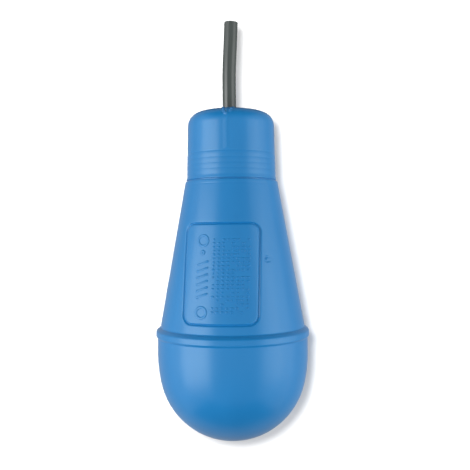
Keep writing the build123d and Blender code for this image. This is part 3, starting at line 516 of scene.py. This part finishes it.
# the upper shell is a cone with an outlined panel and a gate mark, and a spigot inside the cap
shell = {
    "topRadius": 27.15, "footRadius": 42.55, "foot": -128.4, "parting": -128.8, "edge": 0.4, "wall": 2.5,
    "domeRadius": 44.2, "flare": 0.5, "flareHeight": 0.8, "rimEdge": 0.1,
    "spigotWall": 2.6, "spigotTop": -10.3, "spigotChamfer": 1.0, "pushGap": 0.2, "neckDisc": 3.0,
    "neckLine": -45.3, "neckLineDepth": 0.05, "neckLineHalf": 0.35,
    "socketRadius": 11.2, "socketWall": 3.0, "socketFoot": -24.0, "socketLead": 0.6, "webFoot": -28.0,
    "tongueLength": 5.0, "tongueWall": 1.5, "tongueGap": 0.15,
    "panelHalf": 20.95, "panelTop": -67.9, "panelBottom": -122.7, "panelCorner": 5.0, "panelSkew": 0.5,
    "grooveHalf": 0.5, "grooveDepth": 0.85,
    # the gate mark is a ring groove round a pip: its inner and outer edges blend over these radii
    "gateTurn": math.radians(44.6), "gate": -87.7, "gateInner": (0.6, 0.9), "gateOuter": (1.75, 2.1), "gateDepth": 0.4,
    # rows down the cone: from, to and step, fine where the lines of the panel and the gate mark are
    "rowBands": [(-43.8, -47.0, 0.14), (-48.0, -66.4, 1.2), (-66.8, -69.4, 0.15), (-69.6, -73.8, 0.3),
                 (-74.6, -85.2, 1.2), (-85.3, -90.1, 0.18), (-90.8, -117.0, 1.2), (-117.3, -121.5, 0.3),
                 (-121.6, -124.2, 0.15), (-124.9, -126.7, 0.8), (-127.2, -128.35, 0.15)],
    # columns to each side of the middle: from, to and step, upright between these heights
    "middleLines": (-14.4, 14.5, 0.96), "cornerLines": (15.3, 19.6, 0.3),
    "leftLines": (19.7, 22.66, 0.15), "rightLines": (19.7, 25.01, 0.15),
    "linesTop": -66.5, "linesFoot": -124.5, "backColumns": 150,
}
parting, spigotTop = shell["parting"], shell["spigotTop"]
slope = (shell["footRadius"] - shell["topRadius"]) / (shoulderFace - shell["foot"])
inset = shell["wall"] * math.sqrt(1 + slope ** 2)


def coneRadius(z):
    return shell["topRadius"] + (shoulderFace - z) * slope


def footFlare(z):
    # the last of the cone turns out towards the bead
    return shell["flare"] * min(max((shell["foot"] + shell["flareHeight"] - z) / shell["flareHeight"], 0), 1) ** 2


spigot = capInner - shell["pushGap"]
spigotInner = spigot - shell["spigotWall"]
beadTop = snapTop - shell["pushGap"]
beadFoot = snapFoot + shell["pushGap"]
tongueOuter = shell["domeRadius"] - shell["wall"] - shell["tongueGap"]
tongueInner = tongueOuter - shell["tongueWall"]
tongueFoot = parting - shell["tongueLength"]
socketOuter = shell["socketRadius"] + shell["socketWall"]
discFoot = spigotTop - shell["neckDisc"]
wallTop = shoulderFace - shell["wall"]
neckPart = softOutline([
    (shell["socketRadius"], spigotTop, 0), (spigot - shell["spigotChamfer"], spigotTop, 0),
    (spigot, spigotTop - shell["spigotChamfer"], 0), (spigot, beadTop, 0),
    (spigot + snapRise, beadTop - snapRise, 0),
    (spigot + snapRise, beadFoot + snapRise, 0), (spigot, beadFoot, 0), (spigot, shoulderFace, 0),
    (shell["topRadius"] - shell["edge"], shoulderFace, 0)], step=1.5, closed=False)
edge = shell["edge"]
edgeRound = [(shell["topRadius"] - edge * (1 - math.sin(t)), shoulderFace - edge * (1 - math.cos(t)))
             for t in np.linspace(0, math.pi / 2, 5)[1:]]
levels = np.concatenate([np.arange(start, stop, -step) for start, stop, step in shell["rowBands"]])
conePart = np.array([(coneRadius(z) + footFlare(z), z) for z in [*levels, shell["foot"]]])
footPart = softOutline([
    (shell["footRadius"] - shell["rimEdge"], parting, 0), (tongueOuter, parting, 0),
    (tongueOuter, tongueFoot, 0), (tongueInner, tongueFoot, 0), (tongueInner, parting, 0),
    (coneRadius(parting) - inset, parting, 0), (coneRadius(wallTop) - inset, wallTop, 0)],
    step=3.0, closed=False)
innerPart = softOutline([
    (spigotInner, wallTop, 0), (spigotInner, discFoot, 0), (socketOuter, discFoot, 0),
    (socketOuter, shell["webFoot"], 0), (cap["holeRadius"], shell["webFoot"], 0),
    (cap["holeRadius"], shell["socketFoot"], 0), (shell["socketRadius"], shell["socketFoot"], 0),
    (shell["socketRadius"], spigotTop - shell["socketLead"], 0)], step=3.0, closed=False)
shellOutline = np.vstack([neckPart, edgeRound, conePart, footPart, innerPart])
coneStart = len(neckPart) + len(edgeRound)
coneEnd = coneStart + len(conePart)
innerStart = coneEnd + len(footPart)

# columns stand at fixed widths across the front, so the panel's sides follow them, and close round the back
middleLines, cornerLines, leftLines, rightLines = (
    np.arange(*shell[group]) for group in ("middleLines", "cornerLines", "leftLines", "rightLines"))
frontLines = np.concatenate([-leftLines[::-1], -cornerLines[::-1], middleLines, cornerLines, rightLines])


def columnAngles(z):
    radius = coneRadius(min(max(z, shell["linesFoot"]), shell["linesTop"]))
    front = np.arcsin(frontLines / radius)
    rest = np.linspace(front[-1], front[0] + 2 * math.pi, shell["backColumns"] + 2)[1:-1]
    return np.concatenate([front, rest])


topAngles = columnAngles(shell["linesTop"])
footAngles = columnAngles(shell["linesFoot"])
shellAngles = np.array([
    topAngles if k < coneStart or k >= innerStart
    else columnAngles(shellOutline[k, 1]) if k < coneEnd else footAngles for k in range(len(shellOutline))])
shellR, shellA, shellZ = spread(shellOutline, shellAngles)
coneRows = slice(coneStart, coneEnd)
r, a, z = shellR[coneRows], shellA[coneRows], shellZ[coneRows]
inFront = np.cos(a) > 0
panelMiddle = (shell["panelTop"] + shell["panelBottom"]) / 2
panelTall = shell["panelTop"] - shell["panelBottom"]
skew = shell["panelSkew"] * np.clip((shell["panelTop"] - z) / panelTall, 0, 1)
qx = np.abs(r * np.sin(a) - skew) - (shell["panelHalf"] - shell["panelCorner"])
qz = np.abs(z - panelMiddle) - (panelTall / 2 - shell["panelCorner"])
edgeDistance = np.hypot(np.maximum(qx, 0), np.maximum(qz, 0)) + np.minimum(np.maximum(qx, qz), 0) - shell["panelCorner"]
groove = np.exp(-(edgeDistance / shell["grooveHalf"]) ** 2)
gateDistance = np.hypot(r * (a - shell["gateTurn"]), z - shell["gate"])
gateGroove = ramp(*shell["gateInner"], gateDistance) * (1 - ramp(*shell["gateOuter"], gateDistance))
neckGroove = np.exp(-((z - shell["neckLine"]) / shell["neckLineHalf"]) ** 2) * shell["neckLineDepth"]
shellR[coneRows] -= shell["grooveDepth"] * groove * inFront + shell["gateDepth"] * gateGroove + neckGroove
upperShell = meshObject("upperShell", onAxis(shellR, shellA, shellZ), gridFaces(*shellAngles.shape), 50)
finishPiece(upperShell, mouldedPolypropylene, "shell_blue", "upper_shell")
print("upper shell made:", len(upperShell.data.polygons), "faces")


# raised marks on the panel are plain bars, rings and a dot
def marksTree(name, material):
    # bars stand on a flat field of points, and then the whole is wrapped on the cone's front
    tree = bpy.data.node_groups.new(name, "GeometryNodeTree")
    face = tree.interface
    face.new_socket("Geometry", in_out="INPUT", socket_type="NodeSocketGeometry")
    for label in ("Columns", "Bars", "Gap Seed", "Length Seed"):
        face.new_socket(label, in_out="INPUT", socket_type="NodeSocketInt")
    for label in ("Field Width", "Field Height", "Centre X", "Centre Z", "Bar Width", "Bar Thickness",
                  "Half Straight", "Slant", "Shortest", "Gaps", "Cone Radius", "Cone Growth"):
        face.new_socket(label, in_out="INPUT", socket_type="NodeSocketFloat")
    face.new_socket("Geometry", in_out="OUTPUT", socket_type="NodeSocketGeometry")
    given = addNode(tree, "NodeGroupInput").outputs
    at = addNode(tree, "GeometryNodeInputPosition").outputs["Position"]
    apart = addNode(tree, "ShaderNodeSeparateXYZ", links={"Vector": at}).outputs
    grid = addNode(tree, "GeometryNodeMeshGrid", links={
        "Size X": given["Field Width"], "Size Y": given["Field Height"],
        "Vertices X": given["Columns"], "Vertices Y": given["Bars"]})
    points = addNode(tree, "GeometryNodeMeshToPoints", links={"Mesh": grid.outputs["Mesh"]})
    chance = addNode(tree, "FunctionNodeRandomValue", links={"Seed": given["Gap Seed"]})
    missing = addNode(tree, "FunctionNodeCompare", {"operation": "LESS_THAN"},
                      {"A": chance.outputs[1], "B": given["Gaps"]})
    kept = addNode(tree, "GeometryNodeDeleteGeometry", links={
        "Geometry": points.outputs["Points"], "Selection": missing.outputs["Result"]})
    upright = addNode(tree, "ShaderNodeCombineXYZ", links={"X": apart["X"], "Z": apart["Y"]})
    centre = addNode(tree, "ShaderNodeCombineXYZ", links={"X": given["Centre X"], "Z": given["Centre Z"]})
    put = addNode(tree, "GeometryNodeSetPosition", links={
        "Geometry": kept.outputs["Geometry"], "Position": upright.outputs["Vector"],
        "Offset": centre.outputs["Vector"]})
    # a ball drawn out at its middle is a bar with round ends
    ball = addNode(tree, "GeometryNodeMeshUVSphere", {"Segments": 10, "Rings": 5, "Radius": 0.5})
    girth = addNode(tree, "ShaderNodeCombineXYZ", links={
        "X": given["Bar Width"], "Y": given["Bar Thickness"], "Z": given["Bar Width"]})
    sized = addNode(tree, "ShaderNodeVectorMath", {"operation": "MULTIPLY"}, {0: at, 1: girth.outputs["Vector"]})
    way = addNode(tree, "ShaderNodeMath", {"operation": "SIGN"}, {0: apart["Z"]})
    stretch = addNode(tree, "ShaderNodeMath", {"operation": "MULTIPLY"}, {
        0: way.outputs["Value"], 1: given["Half Straight"]})
    drawn = addNode(tree, "ShaderNodeCombineXYZ", links={"Z": stretch.outputs["Value"]})
    bar = addNode(tree, "GeometryNodeSetPosition", links={
        "Geometry": ball.outputs["Mesh"], "Position": sized.outputs["Vector"], "Offset": drawn.outputs["Vector"]})
    slanted = addNode(tree, "ShaderNodeCombineXYZ", links={"Y": given["Slant"]})
    rotation = addNode(tree, "FunctionNodeEulerToRotation", links={"Euler": slanted.outputs["Vector"]})
    # a second draw makes the bars uneven in length
    lengths = addNode(tree, "FunctionNodeRandomValue", {3: 1.0}, {
        2: given["Shortest"], "Seed": given["Length Seed"]})
    size = addNode(tree, "ShaderNodeCombineXYZ", {"X": 1.0, "Y": 1.0}, {"Z": lengths.outputs[1]})
    bars = addNode(tree, "GeometryNodeInstanceOnPoints", links={
        "Points": put.outputs["Geometry"], "Instance": bar.outputs["Geometry"],
        "Rotation": rotation.outputs["Rotation"], "Scale": size.outputs["Vector"]})
    real = addNode(tree, "GeometryNodeRealizeInstances", links={"Geometry": bars.outputs["Instances"]})
    # wrapped on the cone: a bar's own depth becomes its height above the cone
    radius = addNode(tree, "ShaderNodeMath", {"operation": "MULTIPLY_ADD"}, {
        0: apart["Z"], 1: given["Cone Growth"], 2: given["Cone Radius"]})
    out = addNode(tree, "ShaderNodeMath", {"operation": "SUBTRACT"}, {
        0: radius.outputs["Value"], 1: apart["Y"]}).outputs["Value"]
    outSquare = addNode(tree, "ShaderNodeMath", {"operation": "MULTIPLY"}, {0: out, 1: out})
    sideSquare = addNode(tree, "ShaderNodeMath", {"operation": "MULTIPLY"}, {0: apart["X"], 1: apart["X"]})
    square = addNode(tree, "ShaderNodeMath", {"operation": "SUBTRACT"}, {
        0: outSquare.outputs["Value"], 1: sideSquare.outputs["Value"]})
    root = addNode(tree, "ShaderNodeMath", {"operation": "SQRT"}, {0: square.outputs["Value"]})
    frontY = addNode(tree, "ShaderNodeMath", {"operation": "MULTIPLY", 1: -1.0}, {0: root.outputs["Value"]})
    onCone = addNode(tree, "ShaderNodeCombineXYZ", links={
        "X": apart["X"], "Y": frontY.outputs["Value"], "Z": apart["Z"]})
    wrapped = addNode(tree, "GeometryNodeSetPosition", links={
        "Geometry": real.outputs["Geometry"], "Position": onCone.outputs["Vector"]})
    smooth = addNode(tree, "GeometryNodeSetShadeSmooth", links={"Geometry": wrapped.outputs["Geometry"]})
    painted = addNode(tree, "GeometryNodeSetMaterial", {"Material": material}, {"Geometry": smooth.outputs["Geometry"]})
    addNode(tree, "NodeGroupOutput", links={"Geometry": painted.outputs["Geometry"]})
    return tree


def builtFrom(tree, name, values):
    # runs the tree on an empty mesh and keeps its result as a plain mesh
    holder = placed(name + "Holder", bpy.data.meshes.new(name + "Holder"))
    modifier = holder.modifiers.new(name, "NODES")
    modifier.node_group = tree
    for item in tree.interface.items_tree:
        if item.in_out == "INPUT" and item.name in values:
            modifier[item.identifier] = values[item.name]
    holder.update_tag()
    graph = bpy.context.evaluated_depsgraph_get()
    graph.update()
    mesh = bpy.data.meshes.new_from_object(holder.evaluated_get(graph))
    mesh.name = name
    bpy.data.objects.remove(holder)
    return placed(name, mesh)


barsTree = marksTree("raisedBars", mouldedPolypropylene)
# the cone's radius at height 0 and how it grows upwards
coneInputs = {"Cone Radius": coneRadius(0) * mm, "Cone Growth": -slope}
# a field of ticks, 2.7 mm by 2.05 mm apart, some of them missing and all of uneven length
fineMarks = {
    "Columns": 8, "Bars": 20, "Field Width": 18.9 * mm, "Field Height": 38.95 * mm,
    "Centre X": 6.1 * mm, "Centre Z": -96.3 * mm, "Bar Width": 1.15 * mm, "Bar Thickness": 0.52 * mm,
    "Half Straight": 0.525 * mm, "Slant": math.radians(90), "Shortest": 0.55, "Gaps": 0.12,
    "Gap Seed": 7, "Length Seed": 12,
}
# a column of slanted bars, 3.5 mm apart
wideMarks = {
    "Columns": 1, "Bars": 6, "Field Width": 0.0, "Field Height": 17.5 * mm,
    "Centre X": -9.6 * mm, "Centre Z": -98.45 * mm, "Bar Width": 1.4 * mm, "Bar Thickness": 0.6 * mm,
    "Half Straight": 3.05 * mm, "Slant": math.radians(70), "Shortest": 1.0, "Gaps": 0.0,
    "Gap Seed": 1, "Length Seed": 6,
}
fineBars = builtFrom(barsTree, "panelFineMarks", {**fineMarks, **coneInputs})
wideBars = builtFrom(barsTree, "panelWideMarks", {**wideMarks, **coneInputs})
finishPiece(fineBars, mouldedPolypropylene, "shell_blue")
finishPiece(wideBars, mouldedPolypropylene, "shell_blue")

roundMarks = {
    "x": -9.6, "ring": 3.6, "line": 1.4, "rise": 0.3, "rings": (-77.4, -116.2), "dot": 1.5, "dotHeight": -83.9,
    "ringSteps": 56, "dotSteps": 28, "lineSteps": 10,
}
markPoints, markFaces = [], []


def addTorus(centreZ, ringRadius, lineHalf, aroundCount):
    start = len(markPoints)
    for k in range(aroundCount):
        a = 2 * math.pi * k / aroundCount
        for j in range(roundMarks["lineSteps"]):
            t = 2 * math.pi * j / roundMarks["lineSteps"]
            distance = ringRadius + lineHalf * math.cos(t)
            markX, markZ = roundMarks["x"] + distance * math.cos(a), centreZ + distance * math.sin(a)
            out = coneRadius(markZ) + roundMarks["rise"] * math.sin(t)
            markPoints.append((markX, -math.sqrt(out ** 2 - markX ** 2), markZ))
    markFaces.extend([start + v for v in face[::-1]] for face in gridFaces(aroundCount, roundMarks["lineSteps"]))


for ringHeight in roundMarks["rings"]:
    addTorus(ringHeight, roundMarks["ring"] - roundMarks["line"] / 2, roundMarks["line"] / 2, roundMarks["ringSteps"])
addTorus(roundMarks["dotHeight"], roundMarks["dot"] / 2, roundMarks["dot"] / 2, roundMarks["dotSteps"])
roundBars = meshObject("panelRoundMarks", np.array(markPoints) * mm, markFaces, 70)
finishPiece(roundBars, mouldedPolypropylene, "shell_blue")
print("marks made:", sum(len(made.data.polygons) for made in (fineBars, wideBars, roundBars)), "faces")

# the lower shell has a collar with its bead, a straight wall, a slow flank and a round bottom
dome = {
    "straight": -142.9, "straightEase": 0.3, "ballCentre": -151.5, "ballRadius": 43.3,
    "rimInset": 0.4, "rimReach": 0.05, "rimGap": 0.04, "rimRound": 0.1,
    "beadRadius": 45.0, "beadTop": 1.3, "beadTopRound": 1.5, "beadFoot": -133.6, "beadEdge": 0.85,
    "stepAbove": 0.5, "stepBelow": 0.7, "innerStraight": 4,
    "columns": 320, "flankRows": 8, "beadStep": 0.6, "beadArc": 7, "outerStep": 1.1, "innerStep": 2.2,
}
domeRadius = shell["domeRadius"]
rise = dome["straight"] - dome["ballCentre"]
flankRadius = (domeRadius ** 2 + rise ** 2 - dome["ballRadius"] ** 2) / (2 * (domeRadius - dome["ballRadius"]))
flankX = domeRadius - flankRadius
flankLean = math.atan2(-rise, -flankX)
bottom = dome["ballCentre"] - dome["ballRadius"]
shellInner = domeRadius - shell["wall"]


def domeWall(wallInset, stepSize):
    # from the end of the straight wall down to the axis
    points = []
    flankFar = flankRadius - wallInset
    for turn in np.linspace(0, flankLean, dome["flankRows"]):
        points.append((flankX + flankFar * math.cos(turn), dome["straight"] + flankFar * math.sin(turn)))
    near = dome["ballRadius"] - wallInset
    count = int(near * (math.pi / 2 + flankLean) / stepSize)
    for turn in np.linspace(flankLean, -math.pi / 2, count)[1:]:
        points.append((near * math.cos(turn), dome["ballCentre"] + near * math.sin(turn)))
    points[-1] = (0.0, bottom + wallInset)
    return points


# the bead starts with a hollow round at the cone's foot, swells to its full width and ends in a low step
collar = softOutline([
    (shell["footRadius"] - dome["rimReach"], parting, 0),
    (shell["footRadius"] + shell["flare"], shell["foot"] - dome["rimGap"], dome["rimRound"]),
    (dome["beadRadius"], parting - dome["beadTop"], dome["beadTopRound"]),
    (dome["beadRadius"], dome["beadFoot"] + dome["stepAbove"], dome["beadEdge"]),
    (domeRadius, dome["beadFoot"] - dome["stepBelow"], dome["beadEdge"]),
    (domeRadius, dome["straight"] + dome["straightEase"], 0)],
    step=dome["beadStep"], closed=False, arcSteps=dome["beadArc"])
# the outline runs from the axis inside, up the inner wall, over the rim and down the outside
domeOutline = domeWall(shell["wall"], dome["innerStep"])[::-1]
domeOutline += [(shellInner, dome["straight"] + dome["innerStraight"]), (shellInner, parting)]
domeOutline += [(shellInner + dome["rimInset"], parting)] + [tuple(p) for p in collar]
domeOutline += domeWall(0, dome["outerStep"])
lowerShell = revolved("lowerShell", np.array(domeOutline), dome["columns"], closed=False, sharpAngle=50)
finishPiece(lowerShell, mouldedPolypropylene, "shell_blue", "lower_shell")
print("lower shell made:", len(lowerShell.data.polygons), "faces")

# the stage: a white wall close behind that shows its front only, and a pale floor below
stageSizes = {"wallBehind": 0.06, "wallHalf": 0.36, "floor": -1.2, "floorHalf": 3.0, "floorGlow": 0.84}


def wallMaterial(name, code):
    # matt card that shows its front only
    material = emptyMaterial(name)
    tree = material.node_tree
    card = addNode(tree, "ShaderNodeBsdfDiffuse", {"Color": linear(code)})
    clear = addNode(tree, "ShaderNodeBsdfTransparent")
    side = addNode(tree, "ShaderNodeNewGeometry")
    mixed = addNode(tree, "ShaderNodeMixShader", links={
        0: side.outputs["Backfacing"], 1: card.outputs[0], 2: clear.outputs[0]})
    addNode(tree, "ShaderNodeOutputMaterial", links={"Surface": mixed.outputs[0]})
    return material


def glowMaterial(name, brightness):
    # paper lit evenly from behind
    material = emptyMaterial(name)
    shine = addNode(material.node_tree, "ShaderNodeEmission", {"Color": (1, 1, 1, 1), "Strength": brightness})
    addNode(material.node_tree, "ShaderNodeOutputMaterial", links={"Surface": shine.outputs[0]})
    return material


def stageCard(name, centre, sideVector, upVector, halfWide, halfTall, material):
    corners = [centre + sideVector * s * halfWide + upVector * t * halfTall
               for s, t in ((-1, -1), (1, -1), (1, 1), (-1, 1))]
    mesh = bpy.data.meshes.new(name)
    mesh.from_pydata([tuple(c) for c in corners], [], [[0, 1, 2, 3]])
    mesh.materials.append(material)
    card = placed(name, mesh)
    card.visible_shadow = False
    card.visible_diffuse = False
    return card


middle = up * cameraView["height"]
wall = stageCard("wall", middle - back * stageSizes["wallBehind"], right, up,
                 stageSizes["wallHalf"], stageSizes["wallHalf"], wallMaterial("mattWallWhite", "#f4f4f4"))
stageCard("floor", up * stageSizes["floor"], Vector((1, 0, 0)), Vector((0, 1, 0)),
          stageSizes["floorHalf"], stageSizes["floorHalf"], glowMaterial("floorPaperWhite", stageSizes["floorGlow"]))

# cards set how bright the room looks in the gloss: half bright in front and behind on both sides, dim above,
# below and behind the crown; each has its centre, its two directions, half sizes and brightness
cards = {
    "frontCard": (middle + back * 0.75 + right * 0.08, right, up, 0.56, 1.0, 0.42),
    "rearCardRight": (middle - back * 0.056 + right * 0.18, right, up, 0.18, 1.0, 0.42),
    "rearCardLeft": (middle - back * 0.056 - right * 0.18, right, up, 0.18, 1.0, 0.5),
    "crownCard": (up * 0.035 - back * 0.054, right, up, 0.045, 0.05, 0.05),
    "topCard": (up * 0.6, right, back, 0.6, 0.6, 0.12),
    "underCard": (middle - up * 1.0, right, back, 0.8, 0.8, 0.06),
}
for name, (*spanned, brightness) in cards.items():
    card = stageCard(name, *spanned, glowMaterial(name + "Paper", brightness))
    card.visible_camera = False
    card.visible_transmission = False

# lights: a tall softbox on each side and one behind, a fill beside each that leaves no glint, and two lamps
# that light the wall alone; distances in metres, turns in degrees from the camera
lights = {
    "left": {"turn": -57, "wide": 0.80, "tall": 0.92, "height": -0.1, "radiance": 2.6},
    "right": {"turn": 61, "wide": 0.54, "tall": 0.86, "height": -0.09, "radiance": 1.0},
    "rear": {"turn": 180, "wide": 0.5, "tall": 1.3, "height": 0.0, "radiance": 1.6},
    "leftFill": {"turn": -40, "wide": 0.6, "tall": 0.8, "height": -0.07, "radiance": 0.85},
    "rightFill": {"turn": 82, "wide": 0.6, "tall": 0.8, "height": -0.07, "radiance": 3.3},
    "shadow": {"away": 0.395, "left": 0.027, "above": 0.025, "size": 0.047, "light": 1.0},
    "wallFill": {"away": 1.5, "size": 1.2, "light": 0.12},
    "boxDistance": 0.95, "studioLevel": 1.3, "studioLow": 0.02, "studioFall": 0.7,
}
exceptWall = bpy.data.collections.new("exceptWall")
exceptWall.objects.link(wall)
exceptWall.collection_objects[0].light_linking.link_state = "EXCLUDE"
wallOnly = bpy.data.collections.new("wallOnly")
wallOnly.objects.link(wall)


def lamp(name, shapeName, wide, tall, watts, place, target, receivers):
    data = bpy.data.lights.new(name, "AREA")
    data.shape = shapeName
    data.size, data.size_y = wide, tall
    data.energy = watts
    made = placed(name, data)
    made.location = place
    made.rotation_euler = (place - target).to_track_quat("Z", "Y").to_euler()
    made.visible_camera = False
    made.light_linking.receiver_collection = receivers
    return made


for side in ("left", "right", "rear", "leftFill", "rightFill"):
    box = lights[side]
    turn = azimuth + math.radians(box["turn"])
    target = middle + up * box["height"]
    place = target + Vector((math.sin(turn), -math.cos(turn), 0)) * lights["boxDistance"]
    watts = box["radiance"] * math.pi * box["wide"] * box["tall"]
    made = lamp(side + "Softbox", "RECTANGLE", box["wide"], box["tall"], watts, place, target, exceptWall)
    made.visible_glossy = "Fill" not in side
spec = lights["wallFill"]
place = middle + back * spec["away"]
# watts at which a disc this far from the wall gives a white card the wanted light
watts = spec["light"] * math.pi * (spec["away"] + stageSizes["wallBehind"]) ** 2 * math.pi
lamp("wallFillLamp", "DISK", spec["size"], spec["size"], watts, place, place - back, wallOnly)
# the shadow on the wall comes from a small ball lamp near the camera whose light doesn't fall off with distance
spec = lights["shadow"]
data = bpy.data.lights.new("shadowLamp", "POINT")
data.shadow_soft_size = spec["size"] / 2
data.energy = 4 * math.pi ** 2    # watts at which a white card shows at the strength below
data.use_nodes = True
data.node_tree.nodes.clear()
even = addNode(data.node_tree, "ShaderNodeLightFalloff", {"Strength": spec["light"]})
shine = addNode(data.node_tree, "ShaderNodeEmission", {"Color": (1, 1, 1, 1)}, {"Strength": even.outputs["Constant"]})
addNode(data.node_tree, "ShaderNodeOutputLight", links={"Surface": shine.outputs[0]})
shadowLamp = placed("shadowLamp", data)
shadowLamp.location = middle + back * spec["away"] - right * spec["left"] + up * spec["above"]
shadowLamp.visible_camera = False
shadowLamp.light_linking.receiver_collection = wallOnly

# the background is white for the camera, in gloss and through glass
world = bpy.data.worlds.new("studio")
bpy.context.scene.world = world
world.use_nodes = True
tree = world.node_tree
tree.nodes.clear()
path = addNode(tree, "ShaderNodeLightPath")
seen = addNode(tree, "ShaderNodeMath", {"operation": "MAXIMUM"}, {
    0: path.outputs["Is Camera Ray"], 1: path.outputs["Is Glossy Ray"]})
shown = addNode(tree, "ShaderNodeMath", {"operation": "MAXIMUM"}, {
    0: seen.outputs[0], 1: path.outputs["Is Transmission Ray"]})
# as a light, the room is brightest at the height of the object and dims upwards and downwards
direction = addNode(tree, "ShaderNodeTexCoord")
apart = addNode(tree, "ShaderNodeSeparateXYZ", links={"Vector": direction.outputs["Generated"]})
steep = addNode(tree, "ShaderNodeMath", {"operation": "ABSOLUTE"}, {0: apart.outputs["Z"]})
glowing = addNode(tree, "ShaderNodeMapRange", {
    "From Max": lights["studioFall"], "To Min": lights["studioLevel"], "To Max": lights["studioLow"]},
    {"Value": steep.outputs[0]})
dim = addNode(tree, "ShaderNodeBackground", {"Color": (1, 1, 1, 1)}, {"Strength": glowing.outputs["Result"]})
white = addNode(tree, "ShaderNodeBackground", {"Color": (1, 1, 1, 1), "Strength": 1.0})
mixed = addNode(tree, "ShaderNodeMixShader", links={0: shown.outputs[0], 1: dim.outputs[0], 2: white.outputs[0]})
addNode(tree, "ShaderNodeOutputWorld", links={"Surface": mixed.outputs[0]})
bpy.context.scene.view_settings.view_transform = "Standard"
print("stage and lights set")
